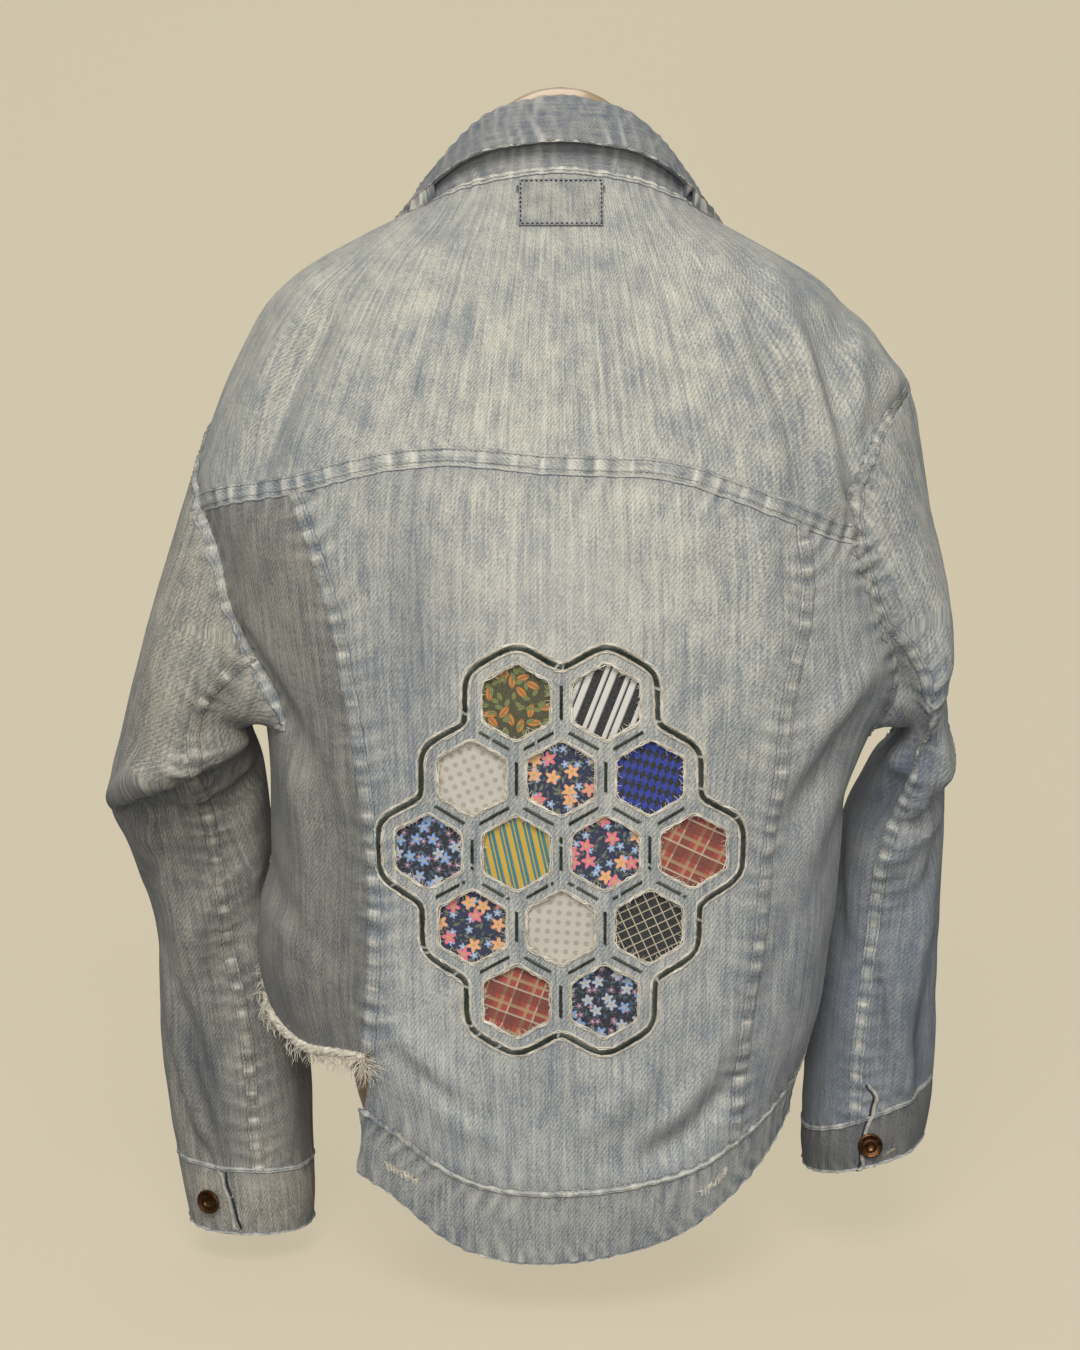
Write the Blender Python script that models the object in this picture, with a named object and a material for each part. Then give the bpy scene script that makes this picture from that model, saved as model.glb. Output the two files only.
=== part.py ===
"""An oversized denim jacket with one cropped side, standing on a dress form.

Metres, +Z up. The jacket's back faces +Y and the wearer's left is +X. Heights in the tables are
measured from a level HEM_LIFT above the surface that the form stands on. Angles go round the body
in degrees: 0 is the centre back, 90 the wearer's left, -90 the right and 180 the centre front.
"""
import math

import bmesh
import bpy
import numpy as np
from mathutils import Matrix, Vector

HEM_LIFT = 0.030
DENIM = 0.0015
DOUBLED = 0.0026
SEAM_INSET = 0.0004
SLEEVE_INSET = 0.0006
LAYER_GAP = 0.0003
SQUARENESS = 2.4
BUTTON_RADIUS = 0.0085
HEXAGON_PITCH = 0.055
WINDOW_RADIUS = 0.0245
PATCH_RADIUS = 0.0295

# Half sizes of the body's level sections. The front half narrows from the side to the front widths.
BODY = {
    "height": (0.00, 0.05, 0.10, 0.15, 0.20, 0.27, 0.31, 0.335, 0.36, 0.39, 0.42, 0.46, 0.51, 0.55,
               0.59, 0.62, 0.645, 0.66, 0.675, 0.69, 0.71),
    "left": (0.136, 0.142, 0.160, 0.192, 0.203, 0.194, 0.192, 0.192, 0.195, 0.205, 0.215, 0.226, 0.236,
             0.224, 0.206, 0.188, 0.162, 0.132, 0.096, 0.083, 0.074),
    "right": (0.136, 0.147, 0.157, 0.172, 0.180, 0.188, 0.194, 0.203, 0.220, 0.224, 0.219, 0.216, 0.224,
              0.229, 0.211, 0.185, 0.150, 0.122, 0.093, 0.081, 0.072),
    "left_front": (0.120, 0.125, 0.135, 0.150, 0.155, 0.160, 0.170, 0.178, 0.186, 0.193, 0.200, 0.208,
                   0.215, 0.210, 0.196, 0.180, 0.154, 0.128, 0.096, 0.080, 0.070),
    "right_front": (0.120, 0.130, 0.140, 0.150, 0.155, 0.165, 0.172, 0.180, 0.188, 0.193, 0.198, 0.202,
                    0.210, 0.215, 0.200, 0.176, 0.144, 0.118, 0.092, 0.078, 0.070),
    "back": (0.108, 0.114, 0.118, 0.122, 0.124, 0.126, 0.127, 0.128, 0.129, 0.129, 0.129, 0.128, 0.123,
             0.113, 0.101, 0.091, 0.082, 0.077, 0.071, 0.066, 0.060),
    "front": (0.105, 0.110, 0.112, 0.115, 0.118, 0.120, 0.121, 0.122, 0.123, 0.123, 0.123, 0.122, 0.117,
              0.108, 0.097, 0.087, 0.077, 0.071, 0.065, 0.060, 0.055),
}

# Heights of the edges and seams that run round the body, by angle.
LEVELS = {
    "angle": (-180, -155, -135, -110, -90, -60, -45, -30, -15, 0, 15, 30, 45, 60, 75, 90, 110, 135, 155,
              180),
    "band_bottom": (0.085, 0.088, 0.092, 0.097, 0.100, 0.078, 0.052, 0.030, 0.017, 0.010, 0.020, 0.046,
                    0.063, 0.070, 0.080, 0.090, 0.090, 0.090, 0.087, 0.085),
    "band_top": (0.125, 0.128, 0.133, 0.139, 0.142, 0.112, 0.090, 0.072, 0.063, 0.059, 0.069, 0.092,
                 0.107, 0.115, 0.125, 0.135, 0.135, 0.135, 0.132, 0.130),
    "raw": (0.170, 0.174, 0.178, 0.182, 0.185, 0.155, 0.135, 0.120, 0.112, 0.108, 0.114, 0.128, 0.148,
            0.146, 0.155, 0.190, 0.186, 0.175, 0.166, 0.160),
    "armpit": (0.345, 0.345, 0.345, 0.344, 0.343, 0.345, 0.350, 0.352, 0.353, 0.354, 0.355, 0.355, 0.354,
               0.352, 0.350, 0.349, 0.349, 0.350, 0.347, 0.345),
    "yoke": (0.490, 0.490, 0.485, 0.475, 0.466, 0.473, 0.481, 0.497, 0.515, 0.518, 0.524, 0.517, 0.504,
             0.494, 0.485, 0.482, 0.484, 0.488, 0.490, 0.490),
    "shoulder": (0.555, 0.558, 0.560, 0.560, 0.560, 0.565, 0.570, 0.576, 0.580, 0.580, 0.575, 0.565,
                 0.555, 0.545, 0.540, 0.538, 0.540, 0.548, 0.553, 0.555),
    "neck": (0.618, 0.646, 0.664, 0.674, 0.676, 0.686, 0.692, 0.697, 0.700, 0.702, 0.700, 0.697, 0.692,
             0.685, 0.680, 0.676, 0.674, 0.664, 0.646, 0.618),
}

# Angles of the armholes' edges, by height.
ARMHOLES = {
    "height": (0.345, 0.360, 0.380, 0.400, 0.420, 0.445, 0.470, 0.500, 0.530, 0.545, 0.560, 0.600,
               0.650, 0.685),
    "left_back": (62, 63, 66, 70, 73, 73, 74, 78, 83, 84, 84, 81, 74, 68),
    "left_front": (106, 113, 115, 112, 109, 107, 105, 102, 98, 97, 97, 99, 104, 108),
    "right_back": (-77, -75, -74, -70, -66, -62, -57, -54, -57, -66, -82, -79, -72, -66),
    "right_front": (-106, -113, -115, -112, -110, -108, -107, -105, -103, -101, -98, -100, -104, -108),
}

# Where the long back seams run: sideways place by height.
LONG_SEAMS = {
    "height": (0.090, 0.112, 0.161, 0.226, 0.275, 0.324, 0.363, 0.408, 0.424, 0.453, 0.483, 0.505),
    "left": (0.128, 0.125, 0.120, 0.116, 0.117, 0.121, 0.127, 0.134, 0.137, 0.145, 0.155, 0.163),
    "right": (0.111, 0.114, 0.117, 0.125, 0.128, 0.135, 0.138, 0.145, 0.150, 0.151, 0.147, 0.145),
}

# The columns of the cloth grid: its seams in order, from the left front edge round the back to the
# right front edge, each with its usual angle and the number of cells up to the next seam.
COLUMNS = (
    ("front_edge_left", 174, 5),
    ("armhole_front_left", 108, 2),
    ("side_left", 90, 2),
    ("armhole_back_left", 68, 3),
    ("long_left", 44, 12),
    ("long_right", -40, 3),
    ("armhole_back_right", -66, 2),
    ("side_right", -92, 2),
    ("armhole_front_right", -108, 5),
    ("front_edge_right", -174, 0),
)
ROWS = (
    ("band_top", 2),
    ("raw", 7),
    ("armpit", 6),
    ("yoke", 3),
    ("shoulder", 6),
    ("neck", 0),
)

# Creases of the body: sideways and upward ends, breadth and height. A negative height is a trough.
BODY_FOLDS = (
    {"side": 1, "start": (0.142, 0.612), "end": (0.172, 0.560), "breadth": 0.014, "height": -0.0060},
    {"side": 1, "start": (0.172, 0.560), "end": (0.190, 0.515), "breadth": 0.013, "height": -0.0045},
    {"side": 1, "start": (0.160, 0.610), "end": (0.203, 0.545), "breadth": 0.012, "height": 0.0040},
    {"side": 1, "start": (-0.136, 0.625), "end": (-0.150, 0.585), "breadth": 0.013, "height": 0.0045},
    {"side": 1, "start": (-0.150, 0.585), "end": (-0.168, 0.500), "breadth": 0.013, "height": 0.0050},
    {"side": 1, "start": (-0.184, 0.610), "end": (-0.184, 0.530), "breadth": 0.011, "height": -0.0070},
    {"side": 1, "start": (-0.112, 0.600), "end": (-0.140, 0.505), "breadth": 0.015, "height": 0.0025},
    {"side": 1, "start": (-0.118, 0.462), "end": (-0.130, 0.400), "breadth": 0.015, "height": 0.0035},
    {"side": 1, "start": (-0.205, 0.345), "end": (-0.160, 0.260), "breadth": 0.016, "height": -0.0045},
    {"side": 1, "start": (-0.160, 0.300), "end": (-0.150, 0.160), "breadth": 0.018, "height": 0.0030},
    {"side": 1, "start": (-0.110, 0.120), "end": (-0.045, 0.080), "breadth": 0.012, "height": -0.0045},
    {"side": 1, "start": (0.160, 0.330), "end": (0.175, 0.190), "breadth": 0.016, "height": 0.0040},
    {"side": 1, "start": (0.140, 0.300), "end": (0.150, 0.190), "breadth": 0.014, "height": -0.0040},
    {"side": -1, "start": (0.120, 0.560), "end": (0.080, 0.440), "breadth": 0.018, "height": 0.0040},
    {"side": -1, "start": (-0.125, 0.560), "end": (-0.085, 0.450), "breadth": 0.018, "height": 0.0040},
    {"side": -1, "start": (0.100, 0.360), "end": (0.085, 0.200), "breadth": 0.018, "height": -0.0040},
    {"side": -1, "start": (-0.100, 0.360), "end": (-0.090, 0.200), "breadth": 0.018, "height": -0.0040},
    {"side": -1, "start": (-0.060, 0.300), "end": (-0.055, 0.160), "breadth": 0.018, "height": 0.0035},
)

# The sleeves' rings from the armhole to the cuff seam: outer and inner points, the middle's depth
# and how far the ring reaches to the back and to the front of it.
LEFT_SLEEVE = {
    "outer_x": (0.250, 0.268, 0.285, 0.297, 0.301, 0.300, 0.294, 0.287, 0.279, 0.276, 0.276, 0.273,
                0.268, 0.263),
    "outer_z": (0.475, 0.420, 0.360, 0.314, 0.292, 0.278, 0.260, 0.234, 0.200, 0.165, 0.130, 0.095,
                0.065, 0.042),
    "inner_x": (0.203, 0.206, 0.207, 0.206, 0.204, 0.202, 0.200, 0.197, 0.195, 0.188, 0.178, 0.174,
                0.172, 0.172),
    "inner_z": (0.350, 0.346, 0.342, 0.336, 0.329, 0.318, 0.298, 0.262, 0.214, 0.174, 0.135, 0.097,
                0.062, 0.034),
    "middle_y": (0.004, 0.002, 0.000, -0.003, -0.008, -0.018, -0.028, -0.036, -0.042, -0.044, -0.042,
                 -0.036, -0.028, -0.024),
    "back": (0.062, 0.068, 0.070, 0.070, 0.064, 0.046, 0.043, 0.045, 0.046, 0.044, 0.042, 0.041, 0.040,
             0.038),
    "front": (0.062, 0.066, 0.066, 0.064, 0.060, 0.056, 0.054, 0.052, 0.050, 0.050, 0.050, 0.048, 0.044,
              0.040),
}
RIGHT_SLEEVE = {
    "outer_x": (-0.240, -0.248, -0.255, -0.259, -0.261, -0.261, -0.260, -0.259, -0.259, -0.258, -0.257),
    "outer_z": (0.500, 0.440, 0.380, 0.332, 0.285, 0.240, 0.195, 0.155, 0.125, 0.106, 0.094),
    "inner_x": (-0.228, -0.231, -0.229, -0.217, -0.200, -0.189, -0.182, -0.177, -0.173, -0.171, -0.170),
    "inner_z": (0.349, 0.343, 0.333, 0.316, 0.284, 0.245, 0.200, 0.155, 0.115, 0.082, 0.058),
    "middle_y": (0.000, -0.004, -0.012, -0.024, -0.034, -0.038, -0.038, -0.036, -0.034, -0.030, -0.028),
    "back": (0.060, 0.066, 0.070, 0.070, 0.064, 0.058, 0.054, 0.051, 0.048, 0.044, 0.042),
    "front": (0.060, 0.064, 0.064, 0.060, 0.056, 0.053, 0.052, 0.051, 0.048, 0.045, 0.042),
}
LEFT_CUFF = {
    "outer_x": (0.263, 0.259, 0.254),
    "outer_z": (0.042, 0.018, -0.006),
    "inner_x": (0.172, 0.171, 0.172),
    "inner_z": (0.034, 0.012, -0.009),
    "middle_y": (-0.024, -0.022, -0.020),
    "back": (0.038, 0.038, 0.037),
    "front": (0.040, 0.040, 0.039),
}
RIGHT_CUFF = {
    "outer_x": (-0.257, -0.255, -0.251),
    "outer_z": (0.094, 0.072, 0.051),
    "inner_x": (-0.170, -0.170, -0.172),
    "inner_z": (0.058, 0.043, 0.029),
    "middle_y": (-0.028, -0.027, -0.026),
    "back": (0.042, 0.042, 0.041),
    "front": (0.042, 0.042, 0.041),
}
SLEEVE_RINGS = 22
SLEEVE_POWER = 2.2
SLEEVE_LIFT = 0.0019
EASE_SHARE = 0.06
BACK_SEAM_TURN = 105
FRONT_SEAM_TURN = 250
CUFF_BUTTON_TURN = {"left": 62, "right": 92}
CUFF_BUTTON_SHARE = 0.52
CUFF_BUTTON_GAP = 0.0006
CUFF_GAP = 0.0005

# Creases of the sleeves, by the turn round the ring (0 outer, 90 back) and the share of the length.
SLEEVE_FOLDS = (
    {"arm": "left", "start": (60, 0.10), "end": (30, 0.34), "breadth": 0.060, "height": -0.0050},
    {"arm": "left", "start": (110, 0.08), "end": (70, 0.33), "breadth": 0.055, "height": 0.0045},
    {"arm": "left", "start": (60, 0.50), "end": (75, 0.90), "breadth": 0.050, "height": 0.0060},
    {"arm": "left", "start": (100, 0.52), "end": (105, 0.92), "breadth": 0.045, "height": -0.0050},
    {"arm": "left", "start": (140, 0.55), "end": (135, 0.90), "breadth": 0.045, "height": 0.0040},
    {"arm": "left", "start": (300, 0.25), "end": (240, 0.45), "breadth": 0.060, "height": -0.0050},
    {"arm": "right", "start": (40, 0.10), "end": (60, 0.40), "breadth": 0.055, "height": 0.0040},
    {"arm": "right", "start": (92, 0.34), "end": (50, 0.48), "breadth": 0.045, "height": -0.0055},
    {"arm": "right", "start": (60, 0.55), "end": (70, 0.92), "breadth": 0.045, "height": 0.0050},
    {"arm": "right", "start": (105, 0.58), "end": (110, 0.92), "breadth": 0.045, "height": -0.0045},
    {"arm": "right", "start": (300, 0.30), "end": (250, 0.50), "breadth": 0.060, "height": -0.0050},
)

# The collar by angle from the centre back: how far the fold stands above the neck seam and outside
# it, and the same for the leaf's lower edge.
COLLAR = {
    "angle": (0, 30, 55, 75, 90, 110, 135, 155, 174),
    "fold_up": (0.045, 0.042, 0.035, 0.027, 0.021, 0.018, 0.017, 0.016, 0.015),
    "fold_out": (-0.011, -0.010, -0.009, -0.007, -0.004, -0.001, 0.001, 0.003, 0.004),
    "leaf_up": (0.016, 0.015, 0.012, 0.007, 0.001, -0.010, -0.028, -0.041, -0.046),
    "leaf_out": (0.006, 0.006, 0.007, 0.009, 0.014, 0.028, 0.042, 0.044, 0.042),
}
COLLAR_WALL = 0.0022
# How far the stand keeps above and inside the neck seam and below the fold, and how the leaf leaves
# the fold: up from it, then out and down.
STAND_FOOT_UP, STAND_FOOT_IN, STAND_TOP_DOWN = 0.0009, 0.0010, 0.0019
LEAF_START_UP, LEAF_ROLL_OUT, LEAF_ROLL_DOWN = 0.0005, 0.0052, 0.0020

# The bare patch below the neck seam: its half width, its heights, its wall and its cells.
NECK_PATCH = {"half_width": 0.026, "low": 0.662, "high": 0.691, "wall": 0.0012, "lift": 0.0009,
              "across": 6, "up": 4}

# The frayed roll: its radius, how much that varies, and how far its two lengths stop short.
RAW_RADIUS = 0.0034
RAW_UNEVEN = 0.18
RAW_SHORT_START, RAW_SHORT_END = 0.14, 0.28

# The dress form's own sections below the shoulders.
FORM = {
    "height": (-0.030, -0.024, 0.000, 0.060, 0.110, 0.180, 0.270, 0.350, 0.430, 0.490, 0.540, 0.580,
               0.620, 0.700),
    "half_width": (0.072, 0.080, 0.098, 0.127, 0.140, 0.136, 0.118, 0.128, 0.144, 0.152, 0.158, 0.158,
                   0.140, 0.080),
    "back": (0.056, 0.064, 0.078, 0.098, 0.102, 0.096, 0.078, 0.082, 0.096, 0.100, 0.096, 0.088,
             0.072, 0.050),
    "front": (0.056, 0.064, 0.074, 0.086, 0.090, 0.088, 0.078, 0.090, 0.106, 0.100, 0.090, 0.080,
              0.066, 0.045),
    "middle_y": (-0.030, -0.028, -0.020, -0.006, 0.0, 0.0, 0.0, 0.0, 0.0, 0.0, 0.0, 0.0, 0.0, 0.0),
}
FORM_POWER = 2.15
FORM_HEIGHTS = (-0.030, -0.024, -0.008, 0.03, 0.07, 0.11, 0.16, 0.215, 0.27, 0.32, 0.37, 0.42, 0.465,
                0.505)
FORM_FRONT_ANGLES = {"a": -174.5, "b": 180, "c": 174.5}
# The form keeps this far inside the yoke: at the shoulders, more at the spine, at the armholes and
# towards the neck.
FORM_GAP = 0.0004
SPINE_GAP, ARMHOLE_GAP, NECK_GAP = 0.010, 0.055, 0.022
# The neck with its rounded cap, above the shoulders.
FORM_NECK = {
    "height": (0.690, 0.715, 0.738, 0.748, 0.7545, 0.757),
    "radius": (0.051, 0.050, 0.0495, 0.046, 0.036, 0.018),
}
FORM_TIP = 0.7575

FRONT_BUTTONS = 6
STAND_ANGLES = (173.92, 177, 180, -177, -173.92)
NECK_EDGE_DROP = 0.001
FIRST_BUTTON_UP, LAST_BUTTON_DOWN = 0.03, 0.02
# A turned profile of the buttons, in shares of their radius.
BUTTON_PROFILE = {
    "radius": (0.0, 0.62, 0.66, 1.0, 0.92, 0.70, 0.0),
    "height": (0.0, 0.0, 0.16, 0.24, 0.44, 0.36, 0.38),
}
BUTTON_SIDES = 14

# The rosette of windows in the back: hexagons in upright rows, with its middle's height.
WINDOW_ROWS = (2, 3, 4, 3, 2)
ROSETTE_HEIGHT = 0.283
PATCH_WALL = 0.0010
PATCH_BEHIND = 0.00235
PATCH_RINGS = 2

MOTIF_COLOURS = (
    (0.030, 0.045, 0.100), (0.030, 0.080, 0.300), (0.350, 0.080, 0.060), (0.640, 0.600, 0.520),
    (0.550, 0.260, 0.060), (0.050, 0.280, 0.300),
)


def clear_scene():
    for old in list(bpy.data.objects):
        bpy.data.objects.remove(old, do_unlink=True)


def smooth(xs, ys, x):
    """The smooth curve through the points (xs, ys), read at x."""
    xs = np.asarray(xs, float)
    ys = np.asarray(ys, float)
    rise = np.diff(ys) / np.diff(xs)
    slope = np.empty(len(xs))
    slope[0], slope[-1] = rise[0], rise[-1]
    before, after = np.diff(xs)[:-1], np.diff(xs)[1:]
    slope[1:-1] = (rise[:-1] * after + rise[1:] * before) / (before + after)
    x = np.clip(np.asarray(x, float), xs[0], xs[-1])
    k = np.clip(np.searchsorted(xs, x, side="right") - 1, 0, len(xs) - 2)
    h = xs[k + 1] - xs[k]
    t = (x - xs[k]) / h
    return (
        (2 * t**3 - 3 * t**2 + 1) * ys[k]
        + (t**3 - 2 * t**2 + t) * h * slope[k]
        + (3 * t**2 - 2 * t**3) * ys[k + 1]
        + (t**3 - t**2) * h * slope[k + 1]
    )


def ease(t):
    t = np.clip(t, 0.0, 1.0)
    return t * t * (3 - 2 * t)


def level(name, angle):
    return float(smooth(LEVELS["angle"], LEVELS[name], angle))


def body_point(angle, height):
    """The jacket's middle surface, without its creases."""
    side = "left" if angle >= 0 else "right"
    turn = math.radians(abs(angle))
    wide = smooth(BODY["height"], BODY[side], height)
    narrow = smooth(BODY["height"], BODY[side + "_front"], height)
    half = wide + (narrow - wide) * ease((abs(angle) - 80) / 45)
    deep = smooth(BODY["height"], BODY["back" if turn <= math.pi / 2 else "front"], height)
    power = 2 / SQUARENESS
    x = math.copysign(1, angle) * half * abs(math.sin(turn)) ** power
    y = math.copysign(1, math.cos(turn)) * deep * abs(math.cos(turn)) ** power
    return np.array([x, y, height + HEM_LIFT], float)


def surface_normal(point_at, u, v, du, dv):
    along = point_at(u + du, v) - point_at(u - du, v)
    up = point_at(u, v + dv) - point_at(u, v - dv)
    normal = np.cross(up, along)
    return normal / np.linalg.norm(normal)


def body_normal(angle, height):
    return surface_normal(body_point, angle, height, 0.5, 0.002)


def ridge(place, start, end, breadth):
    """How much of a crease there is at this place: 1 on its line, fading to the sides and ends."""
    start, end, place = (np.asarray(p, float) for p in (start, end, place))
    run = end - start
    share = np.dot(place - start, run) / np.dot(run, run)
    away = place - (start + np.clip(share, 0, 1) * run)
    return math.exp(-np.dot(away, away) / (2 * (breadth / 2) ** 2 * 2))


def body_crease(point):
    height = 0.0
    side = 1 if point[1] >= 0 else -1
    for fold in BODY_FOLDS:
        if fold["side"] == side:
            place = (point[0], point[2] - HEM_LIFT)
            height += fold["height"] * ridge(place, fold["start"], fold["end"], fold["breadth"])
    return height


def cloth_point(angle, height):
    """The jacket's middle surface with its creases."""
    point = body_point(angle, height)
    return point + body_normal(angle, height) * body_crease(point)


def angle_at(side, sideways, height):
    """The back angle where the body is this far out sideways."""
    half = smooth(BODY["height"], BODY[side], height)
    share = min(sideways / half, 0.999)
    return math.degrees(math.asin(share ** (SQUARENESS / 2)))


def seam_angle(name, height):
    usual = float(dict((seam, angle) for seam, angle, _ in COLUMNS)[name])
    if name.startswith("long"):
        side = name[5:]
        low = min(height, LONG_SEAMS["height"][-1])
        found = angle_at(side, smooth(LONG_SEAMS["height"], LONG_SEAMS[side], low), low)
        found = math.copysign(found, usual)
        return found + (usual - found) * ease((height - low) / 0.12)
    if name.startswith("armhole"):
        _, face, side = name.split("_")
        return float(smooth(ARMHOLES["height"], ARMHOLES[side + "_" + face], height))
    return usual


def grid_lines(entries):
    """Each grid line as (seam, next seam, share of the way between them), and each seam's number."""
    lines, numbers = [], {}
    for k, entry in enumerate(entries):
        numbers[entry[0]] = len(lines)
        cells = entry[-1]
        for step in range(max(cells, 1)):
            nearest = entries[k + 1] if cells else entry
            lines.append((entry, nearest, step / max(cells, 1)))
    return lines, numbers


COLUMN_LINES, COLUMN = grid_lines(COLUMNS)
ROW_LINES, ROW = grid_lines(ROWS)


def grid_place(column, row):
    """The angle and height where a column and a row of the cloth grid cross."""
    first, second, share = COLUMN_LINES[column]
    usual = first[1] + (second[1] - first[1]) * share
    low, high, rise = ROW_LINES[row]
    bottom = level(low[0], usual)
    height = bottom + (level(high[0], usual) - bottom) * rise
    start = seam_angle(first[0], height)
    angle = start + (seam_angle(second[0], height) - start) * share
    return angle, height


def material(name, colour, roughness, metallic=0.0):
    made = bpy.data.materials.new(name)
    made.use_nodes = True
    shader = made.node_tree.nodes["Principled BSDF"]
    shader.inputs["Base Color"].default_value = (*colour, 1.0)
    shader.inputs["Roughness"].default_value = roughness
    shader.inputs["Metallic"].default_value = metallic
    return made


def mesh_object(name, points, faces, colour, roughness=0.85, metallic=0.0):
    mesh = bpy.data.meshes.new(name)
    mesh.from_pydata([tuple(p) for p in points], [], faces)
    mesh.validate()
    mesh.update()
    made = bpy.data.objects.new(name, mesh)
    bpy.context.scene.collection.objects.link(made)
    mesh.materials.append(material(name, colour, roughness, metallic))
    mesh.shade_smooth()
    return made


def inset_edge(points, faces, distance):
    """Moves the open edge of a sheet inwards along the sheet."""
    count = {}
    for face in faces:
        for a, b in zip(face, face[1:] + face[:1]):
            key = (min(a, b), max(a, b))
            count[key] = count.get(key, 0) + 1
    edge = {}
    for (a, b), uses in count.items():
        if uses == 1:
            edge.setdefault(a, []).append(b)
            edge.setdefault(b, []).append(a)
    middles = {}
    for face in faces:
        middle = np.mean([points[i] for i in face], axis=0)
        for i in face:
            if i in edge:
                middles.setdefault(i, []).append(middle)
    moved = [np.array(p, float) for p in points]
    for i, ends in edge.items():
        along = points[ends[0]] - points[ends[-1]]
        along = along / max(np.linalg.norm(along), 1e-9)
        inwards = np.mean(middles[i], axis=0) - points[i]
        square = inwards - along * np.dot(inwards, along)
        if np.linalg.norm(square) < 0.2 * np.linalg.norm(inwards):
            square = inwards
        moved[i] = points[i] + square / np.linalg.norm(square) * distance
    return moved


def wall(name, points, faces, thickness, colour, inset=SEAM_INSET):
    """A cloth wall: a sheet with its edge drawn in, thickened to both sides."""
    made = mesh_object(name, inset_edge(points, faces, inset), faces, colour)
    thick = made.modifiers.new("Wall", "SOLIDIFY")
    thick.thickness = thickness
    thick.offset = 0
    thick.use_even_offset = False
    return made


def panel(name, blocks, thickness=DENIM, colour=(0.36, 0.45, 0.55), offset=0.0):
    """A body panel: the cells of the cloth grid in these blocks of columns and rows."""
    numbers, points, faces = {}, [], []

    def vertex(column, row):
        if (column, row) not in numbers:
            angle, height = grid_place(column, row)
            numbers[column, row] = len(points)
            points.append(cloth_point(angle, height) + body_normal(angle, height) * offset)
        return numbers[column, row]

    for first, last, low, high in blocks:
        for column in range(COLUMN[first], COLUMN[last]):
            for row in range(ROW[low], ROW[high]):
                corners = ((column, row), (column + 1, row), (column + 1, row + 1), (column, row + 1))
                faces.append([vertex(*corner) for corner in corners])
    return wall(name, points, faces, thickness, colour)


def body_panels():
    centre = panel("back_centre", [("long_left", "long_right", "band_top", "yoke")])
    panel("back_side_left", [
        ("side_left", "long_left", "raw", "armpit"),
        ("armhole_back_left", "long_left", "armpit", "yoke"),
    ])
    panel("back_side_right", [
        ("long_right", "side_right", "band_top", "armpit"),
        ("long_right", "armhole_back_right", "armpit", "yoke"),
    ])
    panel("back_yoke", [
        ("armhole_back_left", "armhole_back_right", "yoke", "shoulder"),
        ("armhole_front_left", "armhole_front_right", "shoulder", "neck"),
    ])
    panel("front_left", [
        ("front_edge_left", "side_left", "raw", "armpit"),
        ("front_edge_left", "armhole_front_left", "armpit", "neck"),
    ])
    panel("front_right", [
        ("side_right", "front_edge_right", "band_top", "armpit"),
        ("armhole_front_right", "front_edge_right", "armpit", "neck"),
    ])
    return centre


def surface_strip(name, low, rows, thickness, offset, colour):
    """A strip of the front closing: it follows the jacket's surface from a height up to the neck."""
    points, faces = [], []
    for angle in STAND_ANGLES:
        high = level("neck", angle) - NECK_EDGE_DROP
        for row in range(rows + 1):
            height = low + (high - low) * row / rows
            points.append(cloth_point(angle, height) + body_normal(angle, height) * offset)
    for column in range(len(STAND_ANGLES) - 1):
        for row in range(rows):
            a = column * (rows + 1) + row
            faces.append([a, a + rows + 1, a + rows + 2, a + 1])
    return wall(name, points, faces, thickness, colour)


def hem_band():
    first, last = COLUMN["long_left"], COLUMN["front_edge_right"]
    points, faces = [], []
    for column in range(first, last + 1):
        angle, top = grid_place(column, ROW["band_top"])
        start, end, share = COLUMN_LINES[column]
        bottom = level("band_bottom", start[1] + (end[1] - start[1]) * share)
        for row in range(4):
            points.append(cloth_point(angle, bottom + (top - bottom) * row / 3))
    for column in range(last - first):
        for row in range(3):
            a = column * 4 + row
            faces.append([a, a + 4, a + 5, a + 1])
    wall("hem_band", points, faces, DOUBLED, (0.38, 0.46, 0.55))


def front_closing():
    """The button stand between the fronts, the buttonhole stand over it and the buttons."""
    hem, crop = level("band_bottom", -180), level("raw", 180)
    surface_strip("button_stand", hem, 16, DENIM, 0.0, (0.36, 0.45, 0.55))
    over = DENIM / 2 + LAYER_GAP + DOUBLED / 2
    surface_strip("buttonhole_stand", crop, 14, DOUBLED, over, (0.38, 0.46, 0.55))
    low, high = crop + FIRST_BUTTON_UP, level("neck", 180) - LAST_BUTTON_DOWN
    for k in range(FRONT_BUTTONS):
        height = low + (high - low) * k / (FRONT_BUTTONS - 1)
        seat = cloth_point(180, height) + body_normal(180, height) * (over + DOUBLED / 2 + LAYER_GAP)
        button("front_button_%d" % (k + 1), seat, body_normal(180, height))


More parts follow.
